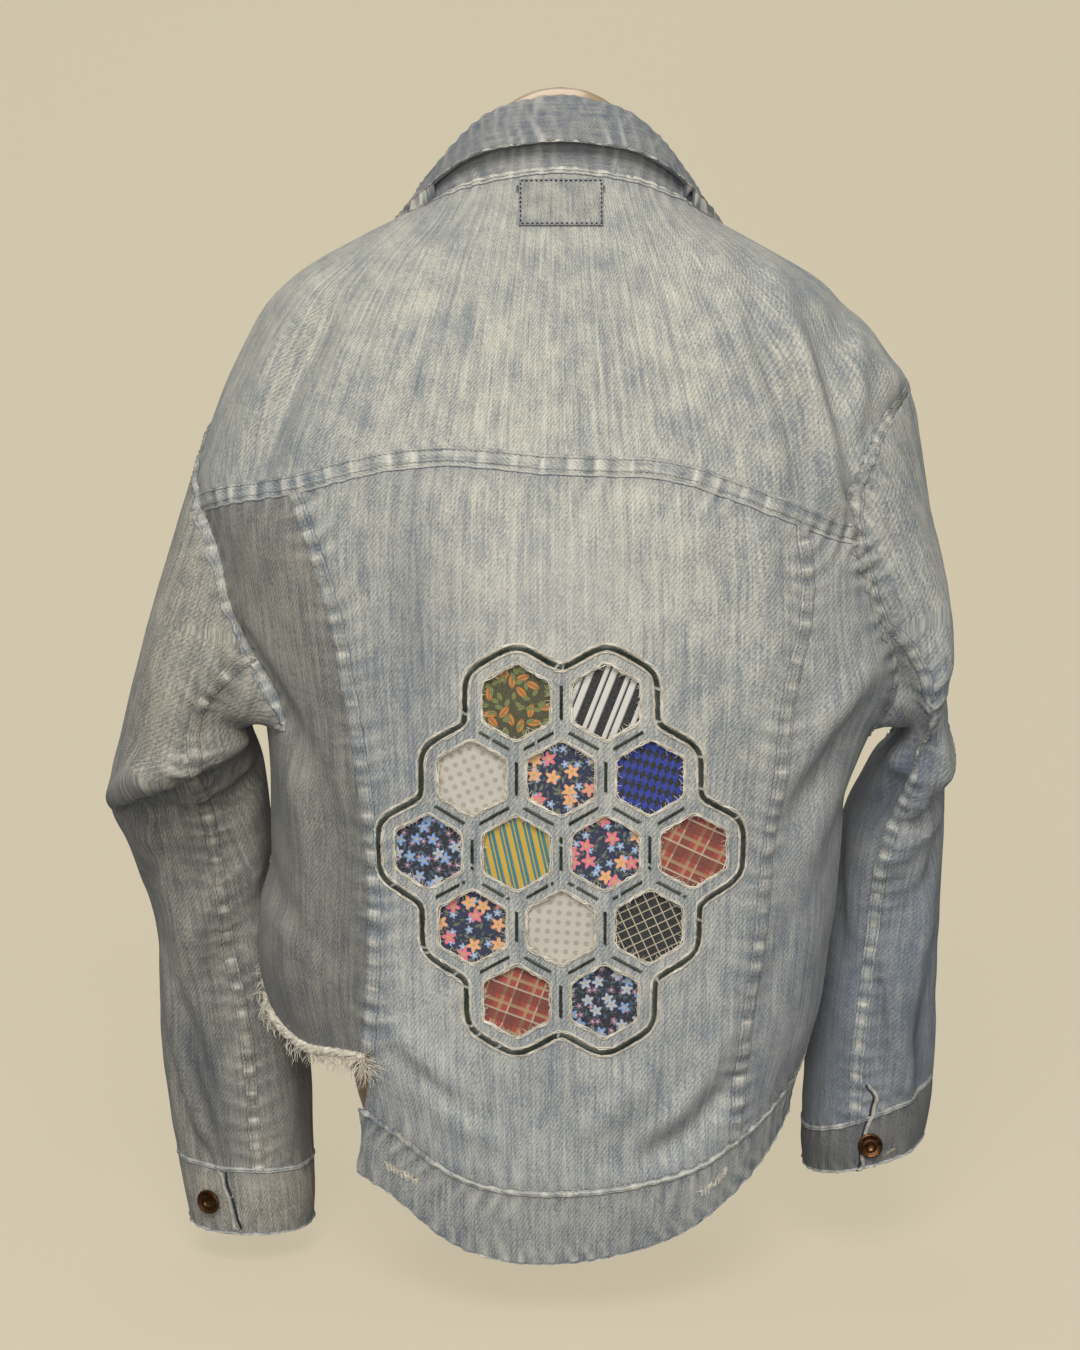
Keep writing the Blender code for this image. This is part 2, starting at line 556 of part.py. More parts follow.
def button(name, seat, direction):
    """A shank button: a turned disc with a raised rim, standing on the cloth at seat."""
    made = bmesh.new()
    rings = []
    for radius, height in zip(BUTTON_PROFILE["radius"], BUTTON_PROFILE["height"]):
        r, z = radius * BUTTON_RADIUS, height * BUTTON_RADIUS
        if r == 0.0:
            rings.append([made.verts.new((0, 0, z))])
            continue
        turns = [2 * math.pi * k / BUTTON_SIDES for k in range(BUTTON_SIDES)]
        rings.append([made.verts.new((r * math.cos(a), r * math.sin(a), z)) for a in turns])
    for lower, upper in zip(rings, rings[1:]):
        for k in range(BUTTON_SIDES):
            a, b = k, (k + 1) % BUTTON_SIDES
            if len(lower) == 1:
                made.faces.new((lower[0], upper[a], upper[b]))
            elif len(upper) == 1:
                made.faces.new((lower[a], lower[b], upper[0]))
            else:
                made.faces.new((lower[a], lower[b], upper[b], upper[a]))
    bmesh.ops.recalc_face_normals(made, faces=made.faces[:])
    turn = Vector((0, 0, 1)).rotation_difference(Vector(direction)).to_matrix().to_4x4()
    made.transform(Matrix.Translation(Vector(seat)) @ turn)
    mesh = bpy.data.meshes.new(name)
    made.to_mesh(mesh)
    made.free()
    mesh.materials.append(material(name, (0.25, 0.15, 0.08), 0.35, 1.0))
    bpy.context.scene.collection.objects.link(bpy.data.objects.new(name, mesh))


def armhole_loop(side):
    """The armhole's grid crossings, from the top's middle down the back, and up the front."""
    top, bottom = ROW["shoulder"], ROW["armpit"]
    front, middle, back = (COLUMN[n + side] for n in ("armhole_front_", "side_", "armhole_back_"))
    step = 1 if back > middle else -1
    places = [(c, top) for c in range(middle, back + step, step)]
    places += [(back, r) for r in range(top - 1, bottom - 1, -1)]
    places += [(c, bottom) for c in range(back - step, front - step, -step)]
    places += [(front, r) for r in range(bottom + 1, top + 1)]
    places += [(c, top) for c in range(front + step, middle, step)]
    return places


def loop_turns(points, bottom):
    """Turn angles for the points of an armhole: 0 at the first, 180 at the bottom one, by length."""
    ends = list(points) + [points[0]]
    lengths = [np.linalg.norm(b - a) for a, b in zip(ends, ends[1:])]
    run = np.concatenate([[0], np.cumsum(lengths)])
    down, whole = run[bottom], run[-1]
    return [180 * s / down if s <= down else 180 + 180 * (s - down) / (whole - down) for s in run[:-1]]


def ring_point(table, share, turn):
    """A point of a sleeve or cuff: share of the way along its rows, turn round its ring."""
    rows = np.linspace(0, 1, len(table["outer_x"]))
    read = {name: float(smooth(rows, values, share)) for name, values in table.items()}
    outer = np.array([read["outer_x"], read["middle_y"], read["outer_z"] + HEM_LIFT])
    inner = np.array([read["inner_x"], read["middle_y"], read["inner_z"] + HEM_LIFT])
    a = math.radians(turn)
    power = 2 / SLEEVE_POWER
    across = math.copysign(abs(math.cos(a)) ** power, math.cos(a))
    deep = math.copysign(abs(math.sin(a)) ** power, math.sin(a))
    reach = read["back"] if deep > 0 else read["front"]
    return (outer + inner) / 2 + (outer - inner) / 2 * across + np.array([0, reach * deep, 0])


def sleeve_crease(arm, share, turn):
    """The sum of this arm's creases at a place. Breadths are in shares, and 300 degrees count as one."""
    height = 0.0
    for fold in SLEEVE_FOLDS:
        if fold["arm"] == arm:
            place = (turn / 300, share)
            start = (fold["start"][0] / 300, fold["start"][1])
            end = (fold["end"][0] / 300, fold["end"][1])
            height += fold["height"] * ridge(place, start, end, fold["breadth"])
    return height


def sleeve_grid(arm, table):
    """The rings of a sleeve, each a list of points, and the turn of each column."""
    places = armhole_loop(arm)
    loop = []
    for column, row in places:
        angle, height = grid_place(column, row)
        loop.append(cloth_point(angle, height) + body_normal(angle, height) * SLEEVE_LIFT)
    middle = COLUMN["side_" + arm]
    turns = loop_turns(loop, places.index((middle, ROW["armpit"])))
    rings = [loop]
    for k in range(1, SLEEVE_RINGS):
        share = k / (SLEEVE_RINGS - 1)
        ring = []
        for i, turn in enumerate(turns):
            place = ring_point(table, max(share - EASE_SHARE, 0) / (1 - EASE_SHARE), turn)
            start = ring_point(table, 0, turn)
            keep = 1 - ease(share / 0.16)
            ring.append(place + (loop[i] - start) * keep * 0.92)
        rings.append(ring)
    return crease_rings(arm, rings, turns), turns


def crease_rings(arm, rings, turns):
    middles = [np.mean(ring, axis=0) for ring in rings]
    made = [rings[0]]
    for k in range(1, len(rings)):
        share = k / (len(rings) - 1)
        ring = []
        for i, point in enumerate(rings[k]):
            outwards = point - middles[k]
            outwards = outwards / np.linalg.norm(outwards)
            fade = ease(share / 0.1) * ease((1 - share) / 0.1)
            ring.append(point + outwards * sleeve_crease(arm, share, turns[i]) * fade)
        made.append(ring)
    return made


def tube_faces(columns, count, rings, turn_out):
    """The cells between these columns of a tube of rings with count points each."""
    faces = []
    for k in range(rings - 1):
        for c in columns:
            a, b = c, (c + 1) % count
            face = [k * count + a, k * count + b, (k + 1) * count + b, (k + 1) * count + a]
            faces.append(face if turn_out else face[::-1])
    return faces


def used_only(points, faces):
    used = sorted({i for face in faces for i in face})
    number = {old: new for new, old in enumerate(used)}
    return [points[i] for i in used], [[number[i] for i in face] for face in faces]


def sleeve(arm, table, cuff_table):
    rings, turns = sleeve_grid(arm, table)
    count = len(turns)
    points = [point for ring in rings for point in ring]
    back = min(range(count), key=lambda i: abs(turns[i] - BACK_SEAM_TURN))
    front = min(range(count), key=lambda i: abs(turns[i] - FRONT_SEAM_TURN))
    under = list(range(back, front))
    upper = [c for c in range(count) if c not in under]
    turn_out = arm == "left"
    for piece, columns in (("top_sleeve_", upper), ("under_sleeve_", under)):
        shown, faces = used_only(points, tube_faces(columns, count, len(rings), turn_out))
        wall(piece + arm, shown, faces, DENIM, (0.33, 0.40, 0.44), inset=SLEEVE_INSET)
    cuff(arm, cuff_table, turns, turn_out)


def cuff(arm, table, turns, turn_out):
    """A doubled band that meets the sleeve's end a seam's gap below it, with its button."""
    rows = 4
    rise = np.array([0, 0, SLEEVE_INSET + SEAM_INSET - CUFF_GAP])
    points = []
    for row in range(rows):
        for turn in turns:
            points.append(ring_point(table, row / (rows - 1), turn) + rise)
    faces = tube_faces(range(len(turns)), len(turns), rows, turn_out)
    wall("cuff_" + arm, points, faces, DOUBLED, (0.36, 0.43, 0.50))
    turn, share = CUFF_BUTTON_TURN[arm], CUFF_BUTTON_SHARE
    at = ring_point(table, share, turn) + rise
    around = ring_point(table, share, turn + 4) - ring_point(table, share, turn - 4)
    down = ring_point(table, share + 0.08, turn) - ring_point(table, share - 0.08, turn)
    out = np.cross(down, around)
    out = out / np.linalg.norm(out)
    if out[1] < 0:
        out = -out
    button("cuff_button_" + arm, at + out * (DOUBLED / 2 + CUFF_BUTTON_GAP), out)


def collar_ring(column):
    """The neck seam's point of a grid column, the outward direction there and the collar's sizes."""
    angle, height = grid_place(column, ROW["neck"])
    seam = cloth_point(angle, height)
    out = np.array([seam[0], seam[1], 0.0])
    out = out / np.linalg.norm(out)
    sizes = {name: float(smooth(COLLAR["angle"], COLLAR[name], abs(angle))) for name in COLLAR}
    return seam, out, sizes


def collar_sheet(name, section, colour):
    """Sweeps a section, a function of the column that gives its points, round the neck."""
    points, faces = [], []
    for column in range(len(COLUMN_LINES)):
        row = section(column)
        size = len(row)
        points += row
    for column in range(len(COLUMN_LINES) - 1):
        for k in range(size - 1):
            a = column * size + k
            faces.append([a, a + size, a + size + 1, a + 1])
    wall(name, points, faces, COLLAR_WALL, colour)


def stand_section(column):
    seam, out, sizes = collar_ring(column)
    up = np.array([0, 0, 1.0])
    base = seam + up * STAND_FOOT_UP - out * STAND_FOOT_IN
    top = seam + up * (sizes["fold_up"] - STAND_TOP_DOWN) + out * sizes["fold_out"]
    return [base + (top - base) * k / 3 for k in range(4)]


def leaf_section(column):
    seam, out, sizes = collar_ring(column)
    up = np.array([0, 0, 1.0])
    top = seam + up * sizes["fold_up"] + out * sizes["fold_out"]
    edge = seam + up * sizes["leaf_up"] + out * sizes["leaf_out"]
    roll = top + out * LEAF_ROLL_OUT - up * LEAF_ROLL_DOWN
    return [top + up * LEAF_START_UP] + [roll + (edge - roll) * k / 4 for k in range(5)]


def neck_patch():
    """A bare patch of cloth below the neck seam."""
    size = NECK_PATCH
    lift = DENIM / 2 + LAYER_GAP + size["lift"]
    points, faces = [], []
    for i in range(size["across"] + 1):
        for j in range(size["up"] + 1):
            height = size["low"] + (size["high"] - size["low"]) * j / size["up"]
            angle = back_angle(size["half_width"] * (2 * i / size["across"] - 1), height)
            points.append(cloth_point(angle, height) + body_normal(angle, height) * lift)
    rows = size["up"] + 1
    for i in range(size["across"]):
        for j in range(size["up"]):
            a = i * rows + j
            faces.append([a, a + 1, a + rows + 1, a + rows])
    wall("neck_patch", points, faces, size["wall"], (0.25, 0.34, 0.45))


def window_middles():
    """The middles of the hexagon windows: rows of two, three, four, three and two."""
    rise = HEXAGON_PITCH * math.sqrt(3) / 2
    found = []
    for row, count in enumerate(WINDOW_ROWS):
        for k in range(count):
            x = (k - (count - 1) / 2) * HEXAGON_PITCH
            found.append((x, ROSETTE_HEIGHT + (len(WINDOW_ROWS) // 2 - row) * rise))
    return found


def hexagon(middle, radius, depth):
    """Corners of an upright hexagon at this depth."""
    corners = []
    for k in range(6):
        a = math.radians(60 * k + 30)
        corners.append((middle[0] + radius * math.cos(a), depth,
                        middle[1] + HEM_LIFT + radius * math.sin(a)))
    return corners


def cut_windows(centre):
    cutter = bmesh.new()
    for middle in window_middles():
        near = [cutter.verts.new(p) for p in hexagon(middle, WINDOW_RADIUS, 0.20)]
        far = [cutter.verts.new(p) for p in hexagon(middle, WINDOW_RADIUS, 0.06)]
        cutter.faces.new(near)
        cutter.faces.new(far[::-1])
        for k in range(6):
            cutter.faces.new((near[k], far[k], far[(k + 1) % 6], near[(k + 1) % 6]))
    bmesh.ops.recalc_face_normals(cutter, faces=cutter.faces[:])
    mesh = bpy.data.meshes.new("window_cutter")
    cutter.to_mesh(mesh)
    cutter.free()
    guide = bpy.data.objects.new("window_cutter", mesh)
    guide.hide_render = True
    guide.display_type = "WIRE"
    bpy.context.scene.collection.objects.link(guide)
    cut = centre.modifiers.new("Windows", "BOOLEAN")
    cut.operation = "DIFFERENCE"
    cut.solver = "EXACT"
    cut.object = guide


def back_angle(x, height):
    """The angle on the back that has this sideways place."""
    side = "left" if x >= 0 else "right"
    return math.copysign(angle_at(side, max(abs(x), 1e-6), height), x)


def patch_places(middle):
    """Flat places of a hexagonal patch: its middle, then rings with two places along each side."""
    middle = np.array(middle)
    corners = [np.array((p[0], p[2] - HEM_LIFT)) for p in hexagon(middle, PATCH_RADIUS, 0.0)]
    flat = [middle]
    for ring in range(1, PATCH_RINGS + 1):
        for k in range(6):
            halfway = (corners[k] + corners[(k + 1) % 6]) / 2
            for edge in (corners[k], halfway):
                flat.append(middle + (edge - middle) * ring / PATCH_RINGS)
    return flat


def window_patches():
    """A hexagon of cloth behind each window, following the panel."""
    sides = 12
    faces = [[0, 1 + k, 1 + (k + 1) % sides] for k in range(sides)]
    for ring in range(1, PATCH_RINGS):
        a, b = 1 + (ring - 1) * sides, 1 + ring * sides
        for k in range(sides):
            after = (k + 1) % sides
            faces.append([a + k, b + k, b + after, a + after])
    for number, middle in enumerate(window_middles()):
        points = []
        for x, height in patch_places(middle):
            angle = back_angle(x, height)
            points.append(cloth_point(angle, height) - body_normal(angle, height) * PATCH_BEHIND)
        colour = MOTIF_COLOURS[number % len(MOTIF_COLOURS)]
        wall("window_patch_%02d" % (number + 1), points, faces, PATCH_WALL, colour, inset=0.0)


def raw_edges():
    """The frayed roll along the cropped left side, in a back and a front length."""
    drop = SEAM_INSET + RAW_RADIUS + LAYER_GAP
    first, last = COLUMN["front_edge_left"], COLUMN["long_left"]
    middle = COLUMN["side_left"]
    for name, start, end in (("raw_edge_front", first, middle), ("raw_edge_back", middle, last)):
        columns = range(start, end + 1)
        places = [grid_place(column, ROW["raw"]) for column in columns]
        edge = [cloth_point(*place) for place in places]
        path = []
        for k, place in enumerate(places):
            along = edge[min(k + 1, len(edge) - 1)] - edge[max(k - 1, 0)]
            down = np.cross(body_normal(*place), along)
            down = down / np.linalg.norm(down) * (-1 if down[2] > 0 else 1)
            path.append(edge[k] + down * drop)
        path[0] = path[0] + (path[1] - path[0]) * RAW_SHORT_START
        path[-1] = path[-1] + (path[-2] - path[-1]) * RAW_SHORT_END
        tube(name, path, RAW_RADIUS)


def tube(name, path, radius):
    """An uneven cord with closed ends."""
    curve = bpy.data.curves.new(name, "CURVE")
    curve.dimensions = "3D"
    curve.bevel_depth = radius
    curve.bevel_resolution = 2
    curve.use_fill_caps = True
    line = curve.splines.new("POLY")
    line.points.add(len(path) - 1)
    for point, place in zip(line.points, path):
        point.co = (*place, 1.0)
        point.radius = 1.0 + RAW_UNEVEN * math.sin(1900 * place[0] + 700 * place[2])
    made = bpy.data.objects.new(name, curve)
    curve.materials.append(material(name, (0.86, 0.86, 0.84), 0.9))
    bpy.context.scene.collection.objects.link(made)


def form_own(angle, height):
    """The dress form's own section, below the shoulders."""
    read = {name: float(smooth(FORM["height"], FORM[name], height)) for name in FORM}
    turn = math.radians(abs(angle))
    power = 2 / FORM_POWER
    x = math.copysign(1, angle) * read["half_width"] * abs(math.sin(turn)) ** power
    reach = read["back"] if math.cos(turn) >= 0 else read["front"]
    y = math.copysign(1, math.cos(turn)) * reach * abs(math.cos(turn)) ** power
    return np.array([x, y + read["middle_y"], height + HEM_LIFT])


def form_columns():
    """The cloth grid's columns, and three more that close the form at the front."""
    return list(range(len(COLUMN_LINES))) + list(FORM_FRONT_ANGLES)


def form_place(column, row):
    if column in FORM_FRONT_ANGLES:
        low, high, rise = ROW_LINES[row]
        bottom = level(low[0], 180)
        return FORM_FRONT_ANGLES[column], bottom + (level(high[0], 180) - bottom) * rise
    return grid_place(column, row)


def form_rings():
    """Rings from the base to the neck: its own sections, then just inside the yoke, then the neck."""
    columns = form_columns()
    top = ROW["shoulder"]
    last = ROW["neck"]
    rings = []
    for height in FORM_HEIGHTS:
        rings.append([form_own(form_place(c, top)[0], height) for c in columns])
    for row in range(top, last + 1):
        share = (row - top) / (last - top)
        ring = []
        for c in columns:
            angle, height = form_place(c, row)
            spot = body_point(angle, height)
            away = FORM_GAP + DENIM / 2
            away += SPINE_GAP * (1 - ease(abs(spot[0]) / 0.06))
            away += ARMHOLE_GAP * ease((abs(spot[0]) - 0.118) / 0.085)
            away += NECK_GAP * ease((share - 0.70) / 0.30)
            ring.append(spot - body_normal(angle, height) * away)
        rings.append(ring)
    return rings, columns


def dress_form():
    """A smooth, armless torso with a neck and a flat base, closed all round."""
    rings, columns = form_rings()
    angles = [form_place(c, ROW["neck"])[0] for c in columns]
    for height, radius in zip(FORM_NECK["height"], FORM_NECK["radius"]):
        turns = [math.radians(angle) for angle in angles]
        z = height + HEM_LIFT
        rings.append([np.array([radius * math.sin(a), radius * math.cos(a), z]) for a in turns])
    count = len(columns)
    points = [p for ring in rings for p in ring]
    faces = tube_faces(range(count), count, len(rings), True)
    base, tip = len(points), len(points) + 1
    points.append(np.mean(rings[0], axis=0))
    points.append(np.array([0, 0, FORM_TIP + HEM_LIFT]))
    last = (len(rings) - 1) * count
    for k in range(count):
        after = (k + 1) % count
        faces.append([base, after, k])
        faces.append([last + k, last + after, tip])
    mesh_object("dress_form", points, faces, (0.80, 0.74, 0.62), 0.25)


def main():
    clear_scene()
    centre = body_panels()
    cut_windows(centre)
    window_patches()
    hem_band()
    front_closing()
    sleeve("left", LEFT_SLEEVE, LEFT_CUFF)
    sleeve("right", RIGHT_SLEEVE, RIGHT_CUFF)
    collar_sheet("collar_stand", stand_section, (0.37, 0.46, 0.55))
    collar_sheet("collar_leaf", leaf_section, (0.37, 0.46, 0.55))
    neck_patch()
    raw_edges()
    dress_form()


main()
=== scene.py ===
# %% [markdown]
# # An oversized denim jacket on a dress form
# The jacket is light-wash denim with dropped shoulders. Its left side is cropped to a frayed edge,
# and its back has a rosette of cut-out hexagons with printed cottons behind them. The frame holds
# the pattern pieces as plain walls. Here each of them becomes cloth: a fine sheet with creases,
# puckered seams, stitches and wear.
# %% The frame
import math

import bpy
import numpy as np
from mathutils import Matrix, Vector, noise
from mathutils.bvhtree import BVHTree


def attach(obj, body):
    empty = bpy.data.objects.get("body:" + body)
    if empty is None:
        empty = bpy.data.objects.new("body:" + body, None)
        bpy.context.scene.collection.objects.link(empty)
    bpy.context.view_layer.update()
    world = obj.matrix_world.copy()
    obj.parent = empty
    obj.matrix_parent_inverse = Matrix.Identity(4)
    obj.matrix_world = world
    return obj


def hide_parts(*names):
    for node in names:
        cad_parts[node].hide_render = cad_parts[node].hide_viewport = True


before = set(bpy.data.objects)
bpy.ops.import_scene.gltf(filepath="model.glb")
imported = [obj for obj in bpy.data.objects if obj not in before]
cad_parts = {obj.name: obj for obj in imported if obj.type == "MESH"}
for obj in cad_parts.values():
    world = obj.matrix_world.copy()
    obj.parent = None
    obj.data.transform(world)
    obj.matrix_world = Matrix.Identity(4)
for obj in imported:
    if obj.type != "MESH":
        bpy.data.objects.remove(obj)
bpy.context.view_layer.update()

noise.seed_set(7)  # so that the loose threads wander the same way in every run
print("pattern pieces and other nodes:", len(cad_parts))

# %% [markdown]
# The photograph looks at the jacket's back from a little above its collar. The long lens keeps the
# hem and the shoulders in proportion.
# %% The camera
CAMERA_AT = (0.013, 1.6, 0.645)
CAMERA_DOWN = 8.5
LENS = 64.9

bpy.ops.object.select_all(action="DESELECT")
bpy.ops.object.camera_add(location=CAMERA_AT, rotation=(math.radians(90 - CAMERA_DOWN), 0, math.pi))
camera = bpy.context.object
camera.data.lens = LENS
bpy.context.scene.camera = camera
bpy.context.scene.view_settings.view_transform = "Standard"
print("camera:", tuple(camera.location))

# %% [markdown]
# A studio sweep is a floor that curves up into a wall, so that no corner shows behind the jacket.
# It is a plane whose far edge is extruded upwards and whose corner is then bevelled.
# %% The studio sweep
SWEEP_SIZE = 9.0
SWEEP_BACK = -1.9
SWEEP_COLOUR = (0.66, 0.585, 0.425)
PAPER_SHARE, PAPER_GLOW = 0.20, 0.80
CORNER_RADIUS, CORNER_STEPS = 1.2, 24


def only(piece):
    """Selects this object alone and makes it the active one."""
    bpy.ops.object.select_all(action="DESELECT")
    piece.select_set(True)
    bpy.context.view_layer.objects.active = piece


def plain(name, colour, roughness):
    """A material with one colour, for what isn't part of the jacket."""
    made = bpy.data.materials.new(name)
    made.use_nodes = True
    shader = made.node_tree.nodes["Principled BSDF"]
    shader.inputs["Base Color"].default_value = (*colour, 1)
    shader.inputs["Roughness"].default_value = roughness
    return made


def make_sweep():
    middle = SWEEP_BACK + SWEEP_SIZE / 2
    bpy.ops.mesh.primitive_plane_add(size=SWEEP_SIZE, location=(0, middle, 0))
    sweep = bpy.context.object
    sweep.name = "studio_sweep"
    bpy.ops.object.mode_set(mode="EDIT")
    bpy.ops.mesh.select_all(action="DESELECT")
    bpy.ops.object.mode_set(mode="OBJECT")
    for edge in sweep.data.edges:
        edge.select = all(sweep.data.vertices[i].co.y < 0 for i in edge.vertices)
    bpy.context.tool_settings.mesh_select_mode = (False, True, False)
    bpy.ops.object.mode_set(mode="EDIT")
    bpy.ops.mesh.extrude_region_move(TRANSFORM_OT_translate={"value": (0, 0, SWEEP_SIZE / 2)})
    bpy.ops.object.mode_set(mode="OBJECT")
    corner = sweep.modifiers.new("Curve", "BEVEL")
    corner.width = CORNER_RADIUS
    corner.segments = CORNER_STEPS
    bpy.ops.object.shade_smooth()
    paper = plain("studio_paper", tuple(c * PAPER_SHARE for c in SWEEP_COLOUR), 0.95)
    glow = paper.node_tree.nodes["Principled BSDF"]
    glow.inputs["Emission Color"].default_value = (*SWEEP_COLOUR, 1)
    glow.inputs["Emission Strength"].default_value = PAPER_GLOW
    sweep.data.materials.append(paper)
    sweep.visible_diffuse = False
    sweep.visible_glossy = False
    return sweep


sweep = make_sweep()
print("sweep faces:", len(sweep.data.polygons))

# %% [markdown]
# The light is soft and comes from above the camera, so the upper back is brightest and the folds
# and sleeves darken towards the hem. A weak lamp on each side keeps the edges readable.
# %% The studio lights
LAMPS = (
    {"name": "overhead_soft", "at": (0.1, 1.9, 2.3), "aim": (0, 0, 0.45), "size": 1.3, "watts": 56},
    {"name": "camera_fill", "at": (0.2, 3.0, 0.9), "aim": (0, 0, 0.35), "size": 1.4, "watts": 34},
    {"name": "left_edge", "at": (2.4, 0.4, 1.2), "aim": (0, 0, 0.4), "size": 1.0, "watts": 4},
    {"name": "right_edge", "at": (-2.4, 0.5, 1.3), "aim": (0, 0, 0.4), "size": 1.0, "watts": 6},
    {"name": "front_fill", "at": (0.3, -1.4, 2.4), "aim": (0, 0, 0.4), "size": 1.6, "watts": 12},
)
WORLD_COLOUR = (0.93, 0.95, 1.0)
WORLD_STRENGTH = 0.16


def add_lamp(lamp):
    turn = (Vector(lamp["aim"]) - Vector(lamp["at"])).to_track_quat("-Z", "Y").to_euler()
    bpy.ops.object.light_add(type="AREA", location=lamp["at"], rotation=turn)
    light = bpy.context.object
    light.name = lamp["name"]
    light.data.size = lamp["size"]
    light.data.energy = lamp["watts"]
    return light


for lamp in LAMPS:
    add_lamp(lamp)
world = bpy.data.worlds.new("studio")
world.use_nodes = True
world.node_tree.nodes["Background"].inputs["Color"].default_value = (*WORLD_COLOUR, 1)
world.node_tree.nodes["Background"].inputs["Strength"].default_value = WORLD_STRENGTH
bpy.context.scene.world = world
print("lamps:", len(LAMPS))

# %% [markdown]
# A pattern piece in the frame is a closed wall. Its outer side alone is the cloth's face, so a copy
# of the wall is merged, everything but the outer side is deleted, and the triangles are joined into
# quads, which subdivide smoothly.
# %% The cloth's face from a frame wall
MERGE = 0.00005
RIM_WIDE, RIM_LEAN = 0.003, 0.75
FIT_ROUNDS = 4


def add_piece(name, data):
    """A new object in the scene with this mesh or curve."""
    piece = bpy.data.objects.new(name, data)
    bpy.context.scene.collection.objects.link(piece)
    return piece


def edit_whole(piece):
    """Opens a mesh in edit mode with all of it selected."""
    only(piece)
    bpy.ops.object.mode_set(mode="EDIT")
    bpy.ops.mesh.select_all(action="SELECT")


def places(piece):
    """The points of a mesh as an array of rows."""
    co = np.empty(len(piece.data.vertices) * 3, np.float32)
    piece.data.vertices.foreach_get("co", co)
    return co.reshape(-1, 3).astype(float)


def put(piece, co):
    piece.data.vertices.foreach_set("co", np.asarray(co, np.float32).ravel())
    piece.data.update()


def point_normals(piece):
    found = np.empty(len(piece.data.vertices) * 3, np.float32)
    piece.data.vertex_normals.foreach_get("vector", found)
    return found.reshape(-1, 3).astype(float)


def lift_cloth(piece, co, heights):
    """Moves a sheet's points along their own normals."""
    put(piece, co + point_normals(piece) * heights[:, None])


def unit(rows):
    rows = np.asarray(rows, float)
    return rows / np.maximum(np.linalg.norm(rows, axis=-1, keepdims=True), 1e-9)


def from_body_axis(middles):
    """Outwards from the body: level, and flattened as the body is."""
    return unit(middles * np.array([1.0, 1.7, 0.0]))


def from_collar(middles):
    return unit(unit(middles * np.array([1.0, 1.0, 0.0])) + np.array([0.0, 0.0, 0.7]))


def nearest_on_line(line, co):
    """The nearest points of a line of points, and how far along it they are."""
    line = np.asarray(line, float)
    runs = np.diff(line, axis=0)
    lengths = np.linalg.norm(runs, axis=1)
    starts = np.concatenate([[0], np.cumsum(lengths)[:-1]])
    shares = np.einsum("vsk,sk->vs", co[:, None] - line[None, :-1], runs)
    shares = np.clip(shares / np.maximum(lengths**2, 1e-16), 0, 1)
    spots = line[None, :-1] + shares[..., None] * runs[None]
    best = ((co[:, None] - spots) ** 2).sum(2).argmin(1)
    rows = np.arange(len(co))
    return spots[rows, best], starts[best] + shares[rows, best] * lengths[best]


def select_faces(piece, chosen):
    """Selects these faces of a mesh, ready for edit mode."""
    bpy.context.tool_settings.mesh_select_mode = (False, False, True)
    piece.data.vertices.foreach_set("select", np.zeros(len(piece.data.vertices), bool))
    piece.data.edges.foreach_set("select", np.zeros(len(piece.data.edges), bool))
    piece.data.polygons.foreach_set("select", np.asarray(chosen, bool))


def shortest_sides(piece):
    """The length of each face's shortest side."""
    co = places(piece)
    found = []
    for face in piece.data.polygons:
        ring = co[list(face.vertices)]
        found.append(np.linalg.norm(ring - np.roll(ring, 1, axis=0), axis=1).min())
    return np.array(found)


def merged_copy(node, name, flatness=None):
    """A copy of a CAD node's mesh, merged, and with its triangles joined up to an angle."""
    piece = add_piece(name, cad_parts[node].data.copy())
    piece.data.name = name
    piece.data.materials.clear()
    only(piece)
    bpy.ops.mesh.customdata_custom_splitnormals_clear()
    edit_whole(piece)
    bpy.ops.mesh.remove_doubles(threshold=MERGE)
    if flatness is not None:
        bpy.ops.mesh.tris_convert_to_quads(face_threshold=flatness, shape_threshold=flatness)
    bpy.ops.object.mode_set(mode="OBJECT")
    return piece


def cloth_face(node, name, outwards):
    """The outer side of a CAD wall as an open sheet of quads."""
    piece = merged_copy(node, name)
    middles = np.array([face.center for face in piece.data.polygons])
    normals = np.array([face.normal for face in piece.data.polygons])
    lean = (normals * outwards(middles)).sum(1)
    rim = (shortest_sides(piece) < RIM_WIDE) & (np.abs(lean) < RIM_LEAN)
    select_faces(piece, (lean <= 0) | rim)
    bpy.ops.object.mode_set(mode="EDIT")
    bpy.ops.mesh.delete(type="FACE")
    bpy.ops.mesh.select_all(action="SELECT")
    bpy.ops.mesh.tris_convert_to_quads(face_threshold=math.pi, shape_threshold=math.pi)
    bpy.ops.object.mode_set(mode="OBJECT")
    return piece


def refine(piece, levels):
    """Subdivides a sheet so that the fine surface still passes through the coarse one's points."""
    only(piece)
    fine = piece.modifiers.new("Fine", "SUBSURF")
    fine.levels = levels
    fine.render_levels = levels
    fine.boundary_smooth = "PRESERVE_CORNERS"
    aim = places(piece)
    coarse = aim.copy()
    for _ in range(FIT_ROUNDS):
        put(piece, coarse)
        shown = piece.evaluated_get(bpy.context.evaluated_depsgraph_get()).to_mesh()
        reached = np.array([v.co for v in shown.vertices[:len(aim)]])
        coarse += aim - reached
    put(piece, coarse)
    bpy.ops.object.modifier_apply(modifier="Fine")
    return piece


def new_grid(name, columns, rows):
    """A flat grid of quads, to be laid on the jacket."""
    bpy.ops.mesh.primitive_grid_add(x_subdivisions=columns, y_subdivisions=rows, size=1)
    grid = bpy.context.object
    grid.name = grid.data.name = name
    return grid


def upright(piece, ups):
    """Turns a sheet over if its faces point inwards."""
    if (point_normals(piece) * ups).sum(1).mean() < 0:
        edit_whole(piece)
        bpy.ops.mesh.flip_normals()
        bpy.ops.object.mode_set(mode="OBJECT")


print("helpers ready")

